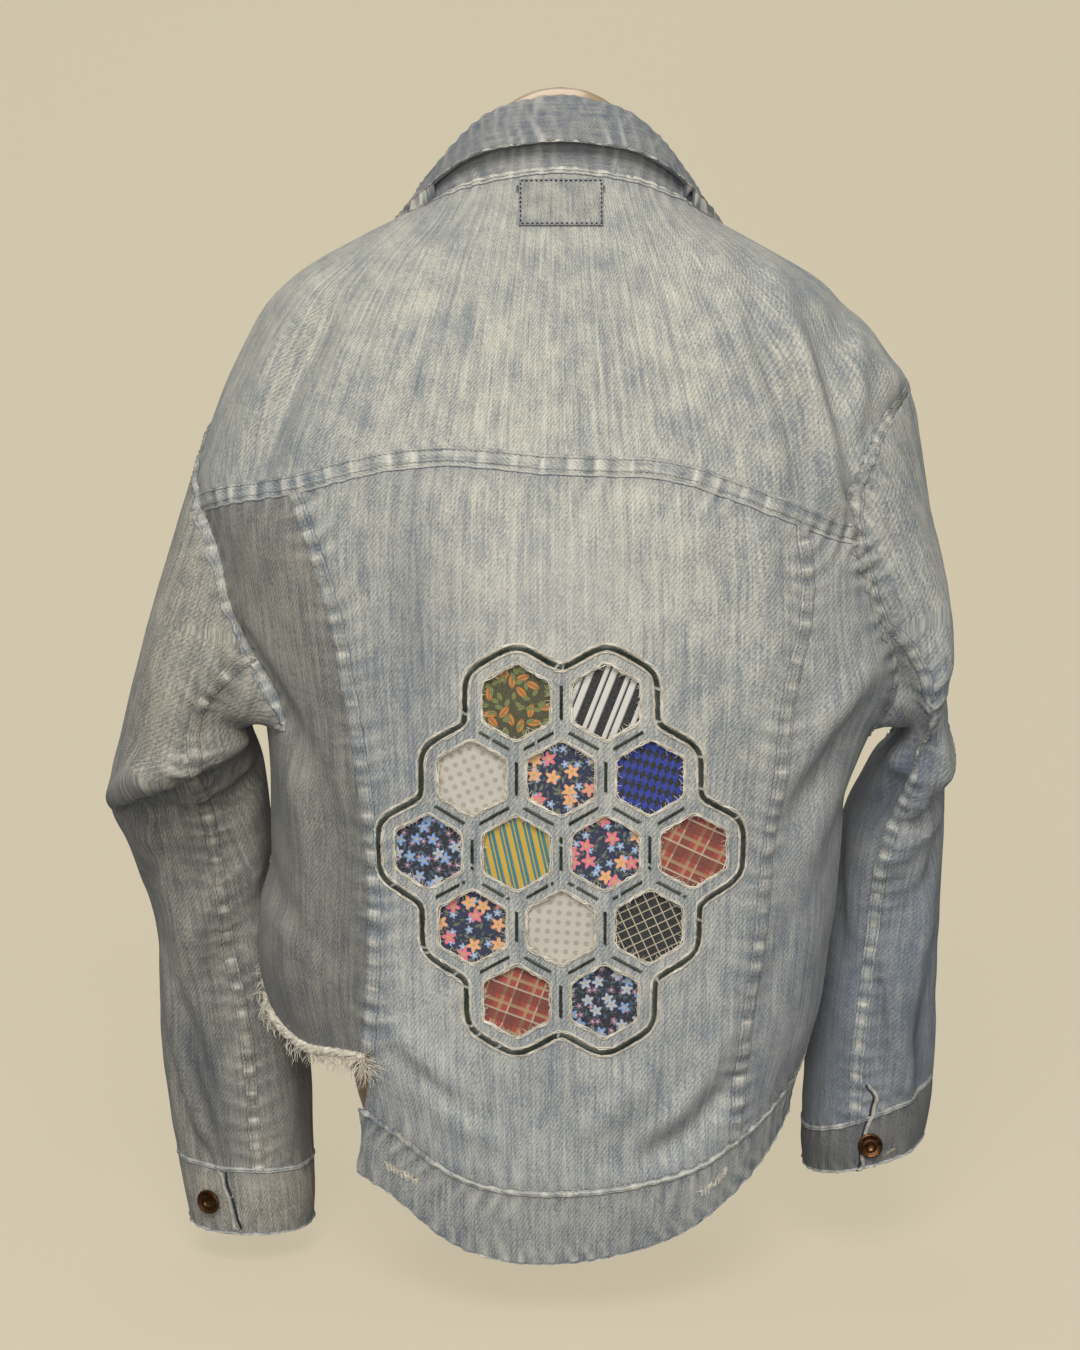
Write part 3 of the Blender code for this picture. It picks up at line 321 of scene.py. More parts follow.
# %% [markdown]
# Cloth is drawn in its own measures. Each sheet gets a UV map named Grain, in metres: across the
# threads and along them. The body's panels hang with their threads upright, a sleeve's threads run
# down the arm, and the bands and the collar are cut along the threads.
# %% Directions of the threads
SLEEVE_LINES = {
    "left": ((0.205, 0, 0.53), (0.2265, 0.004, 0.4425), (0.2515, -0.003, 0.355),
             (0.251, -0.018, 0.328), (0.242, -0.036, 0.278), (0.232, -0.044, 0.1995),
             (0.2235, -0.036, 0.126), (0.2175, -0.024, 0.068), (0.213, -0.020, 0.0225)),
    "right": ((-0.205, 0, 0.53), (-0.234, 0, 0.4545), (-0.242, -0.012, 0.3865),
              (-0.2305, -0.034, 0.3145), (-0.221, -0.038, 0.2275), (-0.216, -0.034, 0.15),
              (-0.2135, -0.028, 0.106), (-0.2115, -0.026, 0.07)),
}
BODY_ROUND, BODY_FLATNESS, SHOULDER_FALL = 0.17, 1.5, 0.6
SLEEVE_ROUND = 0.045
SHOULDER_TOPS = {"left": (0.150, 0, 0.62), "right": (-0.150, 0, 0.62)}


def from_sleeve(side):
    def outwards(middles):
        return unit(middles - nearest_on_line(SLEEVE_LINES[side], middles)[0])
    return outwards


def body_grain(co):
    """Across and along the threads of a body panel."""
    around = np.arctan2(co[:, 0], co[:, 1] * BODY_FLATNESS) * BODY_ROUND
    return np.stack([around, co[:, 2] - SHOULDER_FALL * co[:, 1]], 1)


def band_grain(co):
    """The hem band, cuffs and collar are cut along the threads."""
    return body_grain(co)[:, ::-1]


def sleeve_grain(side):
    def grain(co):
        middles, along = nearest_on_line((SHOULDER_TOPS[side],) + SLEEVE_LINES[side], co)
        away = co - middles
        return np.stack([np.arctan2(away[:, 0], away[:, 1]) * SLEEVE_ROUND, -along], 1)
    return grain


def lay_grain(piece, grain):
    """Writes a sheet's thread coordinates as a UV map, with no jump inside a face."""
    flat = grain(places(piece))
    corners = np.empty(len(piece.data.loops), np.int32)
    piece.data.loops.foreach_get("vertex_index", corners)
    rows = flat[corners]
    if piece.data.uv_layers.get("Grain") is None:
        piece.data.uv_layers.new(name="Grain")
    layer = piece.data.uv_layers["Grain"]
    for face in piece.data.polygons:
        mine = rows[face.loop_start:face.loop_start + face.loop_total]
        for whole in (2 * math.pi * SLEEVE_ROUND, 2 * math.pi * BODY_ROUND):
            spread = mine[:, 0] - mine[0, 0]
            jump = np.abs(spread) > 0.7 * whole
            mine[jump, 0] -= np.sign(spread[jump]) * whole
    layer.data.foreach_set("uv", rows.astype(np.float32).ravel())


print("sleeve lines:", {side: len(line) for side, line in SLEEVE_LINES.items()})

# %% [markdown]
# Denim is woven from dark warp threads and pale weft threads, in diagonal steps. Washed thin, it
# shows uneven pale streaks along the warp, a faint diagonal and a speckle. The material layers
# stretched noises over the Grain map, and a wear attribute pales the places that rub.
# A second attribute darkens the denim with dirt and painted shade, and dark lines across the bands
# are painted shade in their grooves.
# %% The denim material


def node(tree, kind, inputs=None, **settings):
    """Adds a shader node. An input is a value, or another node's output to link."""
    made = tree.nodes.new(kind)
    for key, value in settings.items():
        setattr(made, key, value)
    for key, value in (inputs or {}).items():
        if isinstance(value, bpy.types.NodeSocket):
            tree.links.new(value, made.inputs[key])
        else:
            made.inputs[key].default_value = value
    return made


def sums(tree, operation, first, second, third=None):
    """One sum on two or three values, such as ADD or MULTIPLY_ADD."""
    values = {0: first, 1: second}
    if third is not None:
        values[2] = third
    return node(tree, "ShaderNodeMath", values, operation=operation).outputs[0]


def noise_on(tree, vector, stretch, detail=2.0, roughness=0.55, distortion=0.0):
    laid = node(tree, "ShaderNodeMapping", {"Vector": vector, "Scale": stretch})
    grains = node(tree, "ShaderNodeTexNoise", {
        "Vector": laid.outputs[0], "Scale": 1.0, "Detail": detail, "Roughness": roughness,
        "Distortion": distortion})
    return grains.outputs[0]


def mixed(tree, share, first, second, blend="MIX"):
    """A mix of two colours: each is another node's output, or red, green and blue."""
    made = node(tree, "ShaderNodeMix", data_type="RGBA", blend_type=blend)
    for key, value in ((0, share), (6, first), (7, second)):
        if isinstance(value, bpy.types.NodeSocket):
            tree.links.new(value, made.inputs[key])
        else:
            made.inputs[key].default_value = (*value, 1) if key else value
    return made.outputs[2]


def attribute(tree, name):
    return node(tree, "ShaderNodeAttribute", attribute_name=name).outputs["Fac"]


def new_material(name, roughness):
    made = bpy.data.materials.new(name)
    made.use_nodes = True
    shader = made.node_tree.nodes["Principled BSDF"]
    shader.inputs["Roughness"].default_value = roughness
    return made, made.node_tree, shader


def roughen(tree, shader, height, strength, distance):
    """Turns a height into a fine relief of the material."""
    bump = node(tree, "ShaderNodeBump", {
        "Height": height, "Strength": strength, "Distance": distance})
    tree.links.new(bump.outputs[0], shader.inputs["Normal"])


def ramp(tree, factor, stops):
    made = node(tree, "ShaderNodeValToRGB", {"Fac": factor})
    elements = made.color_ramp.elements
    while len(elements) < len(stops):
        elements.new(0.5)
    for element, (place, colour) in zip(elements, stops):
        element.position = place
        element.color = (*colour, 1)
    return made.outputs[0]


TWILL_LEAN, TWILL_PITCH = math.radians(-33), 0.0021
WAVE_SCALE = 0.314  # a wave texture's scale for one wave a metre
RUBBED_COLOUR, PALE_LINE = (0.74, 0.70, 0.58), (0.66, 0.62, 0.50)
TINT_LOW, TINT_HIGH = 0.05, 0.60


def thread_waves(tree, grain):
    """The diagonal ribs of the twill."""
    turned = node(tree, "ShaderNodeMapping", {"Vector": grain, "Rotation": (0, 0, TWILL_LEAN)})
    ribs = node(tree, "ShaderNodeTexWave", {
        "Vector": turned.outputs[0], "Scale": WAVE_SCALE / TWILL_PITCH, "Distortion": 2.4,
        "Detail": 2.0, "Detail Scale": 1.6, "Detail Roughness": 0.6})
    return ribs.outputs["Fac"], turned.outputs[0]


def centred(tree, value, weight):
    """A 0 to 1 value as a change round nothing."""
    return sums(tree, "MULTIPLY_ADD", value, weight, -weight / 2)


def band_mask(tree, value, middle, breadth):
    """1 where a value is near the middle, falling to 0 a breadth away."""
    away = sums(tree, "ABSOLUTE", sums(tree, "SUBTRACT", value, middle), 0.0)
    made = node(tree, "ShaderNodeMapRange", {
        "Value": away, "From Min": 0.0, "From Max": breadth, "To Min": 1.0, "To Max": 0.0},
        interpolation_type="SMOOTHSTEP")
    return made.outputs[0]


def denim(name, dark, light, high_tint, low_tint, streak=0.62, lines=()):
    """Washed denim. lines across a band are place, breadth and depth: a positive depth paints shade
    in a groove, a negative one a pale worn edge.
    """
    made, tree, shader = new_material(name, 0.9)
    grain = node(tree, "ShaderNodeUVMap", uv_map="Grain").outputs[0]
    place = node(tree, "ShaderNodeTexCoord").outputs["Object"]
    ribs, turned = thread_waves(tree, grain)
    flecks = noise_on(tree, turned, (1450, 430, 1), 3.0, 0.65)
    slubs = noise_on(tree, grain, (1050, 34, 1), 2.0, 0.6)
    long_slubs = noise_on(tree, grain, (330, 8, 1), 2.0, 0.6)
    speckle = noise_on(tree, grain, (1900, 1500, 1), 2.0, 0.7)
    blots = noise_on(tree, place, (75, 75, 60), 3.0, 0.6)
    clouds = noise_on(tree, place, (11, 11, 8), 4.0, 0.6)
    tone = sums(tree, "MULTIPLY_ADD", flecks, 1.15, -0.075)
    for value, weight in ((slubs, streak), (long_slubs, streak * 0.9), (speckle, 0.80),
                          (blots, 0.52), (clouds, 0.52), (ribs, 0.14)):
        tone = sums(tree, "ADD", tone, centred(tree, value, weight))
    middle = tuple((a + b) / 2 for a, b in zip(dark, light))
    pale = tuple(min(1.0, c * 1.22 + 0.02) for c in light)
    colour = ramp(tree, tone, ((0.22, dark), (0.47, middle), (0.64, light), (0.84, pale)))
    height = node(tree, "ShaderNodeSeparateXYZ", {0: place}).outputs["Z"]
    rise = node(tree, "ShaderNodeMapRange", {
        "Value": height, "From Min": TINT_LOW, "From Max": TINT_HIGH}).outputs[0]
    tint = mixed(tree, rise, low_tint, high_tint)
    colour = mixed(tree, 1.0, colour, tint, "MULTIPLY")
    rubbed = sums(tree, "MULTIPLY", attribute(tree, "wear"),
                  sums(tree, "MULTIPLY_ADD", flecks, 1.3, 0.35))
    rubbed = node(tree, "ShaderNodeClamp", {"Value": rubbed}).outputs[0]
    colour = mixed(tree, rubbed, colour, RUBBED_COLOUR)
    # The second attribute mixes in a dark inky blue, for dirt and for painted shade.
    shaded = sums(tree, "MULTIPLY", attribute(tree, "dirt_and_shade"), 0.85)
    inky = (dark[0] * 0.42, dark[1] * 0.46, dark[2] * 0.55)
    colour = mixed(tree, shaded, colour, inky)
    # Dark lines are painted shade in a band's grooves, and pale ones are worn edges.
    for line_at, breadth, depth in lines:
        mask = band_mask(tree, attribute(tree, "across"), line_at, breadth)
        tone_of_line = inky if depth > 0 else PALE_LINE
        colour = mixed(tree, sums(tree, "MULTIPLY", mask, abs(depth)), colour, tone_of_line)
    tree.links.new(colour, shader.inputs["Base Color"])
    relief = sums(tree, "MULTIPLY_ADD", flecks, 0.9, speckle)
    relief = sums(tree, "MULTIPLY_ADD", ribs, 0.35, relief)
    roughen(tree, shader, relief, 0.6, 0.0005)
    shader.inputs["Sheen Weight"].default_value = 0.08
    shader.inputs["Sheen Roughness"].default_value = 0.5
    return made


WARM = (1.05, 1.0, 0.90)
COOL = (0.975, 0.98, 0.985)
FELL_DARK, FELL_LIGHT = (0.130, 0.165, 0.215), (0.43, 0.43, 0.385)
# Lines across the bands: place, breadth and depth. A positive depth is painted shade in a groove, a
# negative one a pale worn edge.
FELLED = ((-0.98, 0.10, 0.9), (-0.80, 0.16, -0.45), (-0.42, 0.10, 0.5), (0.70, 0.10, 0.5),
          (1.0, 0.10, 0.35))
ROLLED = ((-0.95, 0.16, 0.8), (-0.55, 0.22, -0.5), (-0.12, 0.14, 0.7), (0.35, 0.30, -0.6),
          (0.97, 0.14, 0.6))
TWIN = ((-0.98, 0.12, 0.75), (-0.55, 0.10, 0.45), (0.55, 0.10, 0.45), (0.98, 0.12, 0.75))
# Each denim's material, its dark and its light thread, its tint low down, and its band's lines of
# painted shade and pale edges.
DENIM_TONES = {
    "body": ("washed_denim", (0.155, 0.185, 0.225), (0.46, 0.455, 0.405), COOL, ()),
    "sleeve": ("grey_sleeve_denim", (0.120, 0.128, 0.134), (0.355, 0.342, 0.296), WARM, ()),
    "band": ("waistband_denim", (0.135, 0.155, 0.180), (0.42, 0.41, 0.36), COOL, ()),
    "dark": ("collar_indigo", (0.105, 0.135, 0.180), (0.40, 0.395, 0.35), WARM, ()),
    "cuff": ("brown_cuff_denim", (0.100, 0.113, 0.125), (0.36, 0.34, 0.295), WARM, ()),
    "felled": ("felled_denim", FELL_DARK, FELL_LIGHT, COOL, FELLED),
    "twin": ("twin_felled_denim", FELL_DARK, FELL_LIGHT, COOL, TWIN),
    "rolled": ("rolled_edge_denim", (0.120, 0.145, 0.185), (0.41, 0.405, 0.36), COOL, ROLLED),
    "sleeve_felled": ("grey_felled_denim", (0.108, 0.117, 0.124), (0.34, 0.328, 0.285), WARM, TWIN),
}
DENIMS = {key: denim(name, dark, light, WARM, low, lines=lines)
          for key, (name, dark, light, low, lines) in DENIM_TONES.items()}
print("denims:", [made.name for made in DENIMS.values()])

# %% [markdown]
# Every panel is now cut from its wall and refined. The list says which node each panel stands for,
# how often its faces are halved, and which denim it is sewn from.
# %% The panels
PANELS = (
    ("back_side_left", 3, from_body_axis, body_grain, "sleeve", 0.0015),
    ("back_side_right", 3, from_body_axis, body_grain, "body", 0.0015),
    ("back_yoke", 3, from_body_axis, body_grain, "body", 0.0015),
    ("front_left", 2, from_body_axis, body_grain, "body", 0.0015),
    ("front_right", 2, from_body_axis, body_grain, "body", 0.0015),
    ("button_stand", 2, from_body_axis, body_grain, "body", 0.0015),
    ("buttonhole_stand", 2, from_body_axis, body_grain, "body", 0.0015),
    ("hem_band", 3, from_body_axis, body_grain, "band", 0.0015),
    ("neck_patch", 3, from_body_axis, body_grain, "dark", 0.0008),
    ("collar_stand", 2, from_body_axis, band_grain, "dark", 0.0015),
    ("collar_leaf", 2, from_collar, band_grain, "dark", 0.0018),
    ("top_sleeve_left", 3, from_sleeve("left"), sleeve_grain("left"), "sleeve", 0.0015),
    ("under_sleeve_left", 3, from_sleeve("left"), sleeve_grain("left"), "sleeve", 0.0015),
    ("cuff_left", 2, from_sleeve("left"), sleeve_grain("left"), "cuff", 0.0018),
    ("top_sleeve_right", 3, from_sleeve("right"), sleeve_grain("right"), "body", 0.0015),
    ("under_sleeve_right", 2, from_sleeve("right"), sleeve_grain("right"), "body", 0.0015),
    ("cuff_right", 2, from_sleeve("right"), sleeve_grain("right"), "cuff", 0.0018),
)
LAYERS = {name: (grain, cloth, wall) for name, _, _, grain, cloth, wall in PANELS}
LAYERS["back_centre"] = (body_grain, "body", 0.0015)
sheets = {}
for name, levels, outwards, grain, cloth, wall in PANELS:
    sheets[name] = refine(cloth_face(name, name + "_cloth", outwards), levels)
    lay_grain(sheets[name], grain)
print({name: len(piece.data.polygons) for name, piece in sheets.items()})

# %% [markdown]
# The centre back has fourteen windows cut in it, so its wall in the frame is split into slivers. It
# is laid again as one even grid between its four seams, and its height comes from a smooth surface
# through the wall's own points. The windows are cut in it later.
# %% The centre back's grid
BACK_CORNERS = ((0.163, 0.100, 0.535), (-0.147, 0.105, 0.515),
                (-0.111, 0.091, 0.114), (0.126, 0.087, 0.136))
BACK_COLUMNS, BACK_ROWS = 104, 132


def rim_loops(piece):
    """The open edges of a sheet as ordered loops of point numbers, the longest first."""
    count = {}
    for face in piece.data.polygons:
        for key in face.edge_keys:
            count[key] = count.get(key, 0) + 1
    beside = {}
    for (a, b), uses in count.items():
        if uses == 1:
            beside.setdefault(a, []).append(b)
            beside.setdefault(b, []).append(a)
    loops = []
    while beside:
        start = next(iter(beside))
        loop = [start]
        while True:
            nexts = beside.get(loop[-1])
            if not nexts:
                break
            step = nexts.pop()
            beside[step].remove(loop[-1])
            if step == start:
                break
            loop.append(step)
        beside = {point: mates for point, mates in beside.items() if mates}
        loops.append(loop)
    return sorted(loops, key=len, reverse=True)


def rim_numbers(piece, start, end, via):
    """The stretch of a sheet's rim from one place to another, past a third."""
    co = places(piece)
    loop = min(rim_loops(piece)[:2], key=lambda numbers: np.linalg.norm(
        co[numbers] - np.array(start), axis=1).min())
    ring = co[loop]
    first, last, middle = (int(np.linalg.norm(ring - np.array(spot), axis=1).argmin())
                           for spot in (start, end, via))
    count = len(loop)
    forward = (last - first) % count
    if (middle - first) % count <= forward:
        picks = [(first + i) % count for i in range(forward + 1)]
    else:
        picks = [(first - i) % count for i in range((first - last) % count + 1)]
    return [loop[i] for i in picks]


def rim_path(piece, start, end, via):
    return places(piece)[rim_numbers(piece, start, end, via)]


def evenly(path, count):
    """The same path with its points an even step apart."""
    run = np.concatenate([[0], np.cumsum(np.linalg.norm(np.diff(path, axis=0), axis=1))])
    steps = np.linspace(0, run[-1], count)
    return np.stack([np.interp(steps, run, path[:, k]) for k in range(3)], 1)


def smooth_surface(points, smoothing):
    """A thin-plate surface y(x, z) through these points."""
    flat = points[:, [0, 2]]
    middle, spread = flat.mean(0), flat.std()

    def bends(places_flat):
        away = np.linalg.norm(places_flat[:, None] - flat[None], axis=2) / spread
        return np.where(away > 0, away**2 * np.log(np.maximum(away, 1e-9)), 0)

    size = len(points)
    table = np.zeros((size + 3, size + 3))
    table[:size, :size] = bends(flat) + np.eye(size) * smoothing
    table[:size, size:] = np.hstack([np.ones((size, 1)), (flat - middle) / spread])
    table[size:, :size] = table[:size, size:].T
    answer = np.linalg.solve(table, np.concatenate([points[:, 1], np.zeros(3)]))

    def height(places_flat):
        lean = np.hstack([np.ones((len(places_flat), 1)), (places_flat - middle) / spread])
        return bends(places_flat) @ answer[:size] + lean @ answer[size:]
    return height


def lay_centre_back():
    wall = cloth_face("back_centre", "back_centre_wall", from_body_axis)
    top_left, top_right, low_right, low_left = BACK_CORNERS
    top = evenly(rim_path(wall, top_left, top_right, (0, 0.12, 0.56)), BACK_COLUMNS + 1)
    low = evenly(rim_path(wall, low_left, low_right, (0.02, 0.11, 0.09)), BACK_COLUMNS + 1)
    left = evenly(rim_path(wall, low_left, top_left, (0.13, 0.09, 0.33)), BACK_ROWS + 1)
    right = evenly(rim_path(wall, low_right, top_right, (-0.13, 0.09, 0.33)), BACK_ROWS + 1)
    across = np.linspace(0, 1, BACK_COLUMNS + 1)[None, :, None]
    up = np.linspace(0, 1, BACK_ROWS + 1)[:, None, None]
    grid = (1 - up) * low[None] + up * top[None]
    grid += (1 - across) * left[:, None] + across * right[:, None]
    grid -= (1 - up) * ((1 - across) * low[0] + across * low[-1])
    grid -= up * ((1 - across) * top[0] + across * top[-1])
    surface = smooth_surface(places(wall), 0.002)
    piece = new_grid("back_centre_cloth", BACK_COLUMNS, BACK_ROWS)
    rows = grid.reshape(-1, 3)
    rows[:, 1] = surface(rows[:, [0, 2]])
    put(piece, rows)
    upright(piece, np.array([0.0, 1.0, 0.0]))
    bpy.data.objects.remove(wall)
    return piece


sheets["back_centre"] = lay_centre_back()
lay_grain(sheets["back_centre"], body_grain)
print("centre back:", len(sheets["back_centre"].data.polygons), "faces")

# %% [markdown]
# Seams are the lines where the panels meet, read from the panels' own rims. Each is found by the
# panel that owns it and three places in millimetres: where it starts, where it ends, and one that
# it passes. The puckers, the felled band and the stitches along a seam all follow its line.
# %% The seam lines
SEAMS = {
    "yoke": ("back_yoke", (229, 38, 519), (-187, 78, 501), (0, 110, 550)),
    "long_left": ("back_side_left", (163, 100, 534), (122, 103, 177), (130, 100, 350)),
    "long_right": ("back_side_right", (-148, 104, 515), (-112, 91, 114), (-130, 100, 300)),
    "armhole_left": ("back_side_left", (229, 39, 518), (176, 69, 381), (200, 60, 450)),
    "armhole_left_top": ("back_yoke", (222, -20, 570), (229, 38, 519), (226, 18, 572)),
    "armhole_right": ("back_side_right", (-187, 78, 500), (-201, 36, 376), (-200, 70, 440)),
    "armhole_right_top": ("back_yoke", (-221, -20, 590), (-187, 78, 501), (-225, 16, 594)),
    "side_left": ("back_side_left", (193, 0, 379), (197, 0, 220), (190, 0, 300)),
    "side_right": ("back_side_right", (-204, -7, 372), (-167, -7, 173), (-180, 0, 270)),
    "shoulder_left": ("back_yoke", (94, -23, 705), (222, -20, 570), (170, -20, 650)),
    "shoulder_right": ("back_yoke", (-90, -23, 705), (-221, -20, 590), (-170, -20, 650)),
    "neck": ("back_yoke", (94, -23, 705), (-90, -23, 705), (0, 66, 730)),
    "band_top": ("hem_band", (126, 87, 136), (-22, -114, 155), (0, 110, 90)),
    "band_low": ("hem_band", (112, 85, 92), (-21, -112, 116), (0, 110, 50)),
    "sleeve_left": ("top_sleeve_left", (198, 56, 427), (204, 13, 67), (220, 10, 250)),
    "sleeve_left_front": ("top_sleeve_left", (185, -58, 424), (197, -61, 66), (210, -80, 250)),
    "sleeve_right": ("top_sleeve_right", (-200, 69, 562), (-200, 13, 101), (-210, 30, 300)),
    "sleeve_right_front": ("top_sleeve_right", (-193, -54, 439), (-198, -69, 100),
                           (-210, -80, 250)),
    "stand_left": ("front_left", (27, -86, 655), (23, -116, 192), (25, -120, 400)),
    "stand_right": ("front_right", (-26, -86, 655), (-22, -114, 156), (-25, -120, 400)),
    "raw_back": ("back_side_left", (124, 103, 177), (197, 0, 220), (170, 90, 190)),
    "raw_front": ("front_left", (196, -2, 220), (27, -116, 192), (120, -100, 200)),
    "collar_edge": ("collar_leaf", (40, -126, 610), (-38, -126, 610), (0, 110, 690)),
    "collar_roll": ("collar_leaf", (28, -90, 671), (-27, -90, 671), (0, 40, 760)),
}
seam_numbers = {name: (owner, rim_numbers(sheets[owner], *np.array(marks) / 1000))
                for name, (owner, *marks) in SEAMS.items()}
for cuff in ("cuff_left", "cuff_right"):
    co = places(sheets[cuff])
    cuff_rims = sorted(rim_loops(sheets[cuff])[:2], key=lambda loop: co[loop][:, 2].mean())
    for end, loop in zip(("_low", "_top"), cuff_rims):
        front = int(co[loop][:, 1].argmin())
        seam_numbers[cuff + end] = (cuff, loop[front:] + loop[:front] + [loop[front]])


def read_seams():
    """Where the seams run on their panels now."""
    return {name: places(sheets[owner])[numbers]
            for name, (owner, numbers) in seam_numbers.items()}


seams = read_seams()


def length_of(path):
    return float(np.linalg.norm(np.diff(path, axis=0), axis=1).sum())


print({name: round(length_of(path), 3) for name, path in seams.items()})

# %% [markdown]
# Creases are soft troughs and ridges. Each is written down as a line of four points on the back,
# seen from behind, with its breadth and its height, in millimetres. A negative height is a trough.
# The cloth moves along its own normals, least at the line's two ends.
# %% The body's creases
CREASES = (
    (135, 665, 157, 624, 172, 590, 192, 548, 8.5, -7.5),
    (152, 655, 173, 622, 188, 590, 205, 552, 9, 5),
    (118, 660, 138, 622, 153, 585, 168, 545, 11, 3.8),
    (-132, 668, -147, 625, -160, 580, -176, 520, 8, 5.8),
    (-118, 655, -130, 610, -143, 570, -157, 515, 9, -5.2),
    (-106, 640, -117, 605, -128, 575, -141, 525, 7.5, 4.5),
    (-150, 660, -165, 620, -176, 580, -186, 530, 8.5, -7.2),
    (-188, 640, -187, 610, -184, 575, -183, 545, 7, 6),
    (-172, 545, -178, 538, -184, 528, -190, 515, 6, -5),
    (-115, 520, -121, 500, -128, 475, -135, 445, 10, 4.2),
    (-98, 515, -104, 490, -110, 462, -114, 430, 9, -3),
    (-205, 430, -180, 405, -160, 380, -140, 345, 11, 5.5),
    (-200, 402, -178, 375, -158, 345, -142, 305, 10, -6),
    (-205, 378, -182, 350, -165, 318, -150, 275, 11, 5),
    (210, 470, 195, 448, 178, 420, 160, 385, 9, 4.8),
    (200, 440, 185, 418, 170, 390, 155, 350, 8.5, -5.2),
    (190, 400, 176, 370, 165, 330, 160, 285, 11, 4.6),
    (200, 300, 188, 280, 172, 255, 150, 235, 11, -4.2),
    (190, 262, 176, 250, 160, 238, 140, 225, 7.5, 3.4),
    (105, 500, 98, 470, 94, 440, 92, 400, 13, -2.6),
    (70, 528, 66, 505, 62, 485, 60, 465, 10, 1.8),
    (-30, 528, -36, 510, -42, 490, -48, 470, 10, -1.8),
    (108, 200, 95, 185, 80, 168, 64, 150, 9, 4),
    (100, 180, 85, 163, 70, 148, 50, 134, 8, -4.2),
    (92, 160, 75, 146, 58, 133, 36, 122, 8, 3.6),
    (-105, 190, -92, 165, -75, 143, -50, 122, 8.5, 4.4),
    (-118, 165, -100, 142, -80, 122, -55, 108, 8, -4.6),
    (-60, 175, -45, 158, -28, 140, -8, 125, 10, 2.6),
    (20, 170, 10, 152, 2, 135, -4, 118, 11, -2.2),
    (-150, 270, -142, 240, -132, 210, -124, 180, 11, -3.4),
    (40, 680, 46, 650, 50, 620, 52, 590, 16, 2),
    (-50, 670, -58, 640, -64, 610, -68, 580, 16, -2.2),
    (85, 690, 100, 668, 112, 645, 120, 615, 12, -3.4),
    (-85, 688, -98, 668, -106, 648, -112, 625, 11, 2.8),
)


def share_along(path, co):
    """How far each point is from a path, its share of the path's length, and its way along it."""
    spots, along = nearest_on_line(path, co)
    return np.linalg.norm(co - spots, axis=1), along / length_of(path), along


def ridge(path, co, breadth, height, sharpness=0.8):
    """A crease's height at these points: full on its line, less beside it and at its ends."""
    away, share, _ = share_along(path, co)
    fade = np.sin(np.pi * np.clip(share * 0.84 + 0.08, 0, 1)) ** sharpness
    return height * fade * np.exp(-(away / breadth) ** 2)


def crease_heights(flat, creases, across=0.001):
    """The height of all creases at these places on a flat drawing, whose unit across is given."""
    total = np.zeros(len(flat))
    co = np.stack([flat[:, 0], np.zeros(len(flat)), flat[:, 1]], 1)
    for *points, breadth, height in creases:
        path = np.array([(x * across, 0, z / 1000) for x, z in zip(points[::2], points[1::2])])
        total += ridge(path, co, breadth / 1000, height / 1000)
    return total


def soft_noise(co, size, seed):
    """Slow, even waves with no direction, from -1 to 1."""
    return np.array([noise.noise(Vector(p) / size + Vector((seed, seed, seed))) for p in co])


BODY_BACK = ("back_yoke", "back_side_left", "back_side_right", "back_centre")
BODY_FRONT = ("front_left", "front_right", "button_stand", "buttonhole_stand")
for name in BODY_BACK:
    piece = sheets[name]
    co = places(piece)
    behind = np.clip(co[:, 1] / 0.04, 0, 1)
    lift = crease_heights(co[:, [0, 2]], CREASES) * behind
    lift_cloth(piece, co, lift + soft_noise(co, 0.035, 3.1) * 0.0008)
print("creases on the back:", len(CREASES))

# %% [markdown]
# The hidden front has creases of the same kind, fewer and softer. The sleeves' creases are drawn on
# a flat sleeve: the angle round the arm in radians, where 0 is its outer back, and the way down it.
# Deep folds that cross a sleeve are lines in space instead: the lip, then the hollow under it.
# %% The front's and the sleeves' creases
FRONT_CREASES = (
    (160, 620, 145, 580, 128, 540, 110, 500, 12, 3.6),
    (175, 580, 160, 545, 140, 505, 122, 460, 11, -4),
    (165, 420, 145, 390, 120, 355, 90, 325, 12, 4),
    (180, 360, 155, 325, 125, 295, 90, 270, 12, -3.6),
    (-160, 630, -146, 590, -130, 550, -112, 505, 12, 3.8),
    (-172, 590, -158, 550, -140, 510, -120, 470, 11, -4),
    (-170, 430, -145, 395, -118, 365, -88, 340, 12, 4),
    (-175, 370, -150, 335, -120, 305, -85, 280, 12, -3.8),
    (-140, 260, -115, 235, -85, 210, -55, 190, 11, 3.4),
    (60, 560, 62, 500, 66, 440, 60, 380, 16, -2.4),
    (-60, 550, -66, 490, -62, 430, -58, 370, 16, -2.4),
)
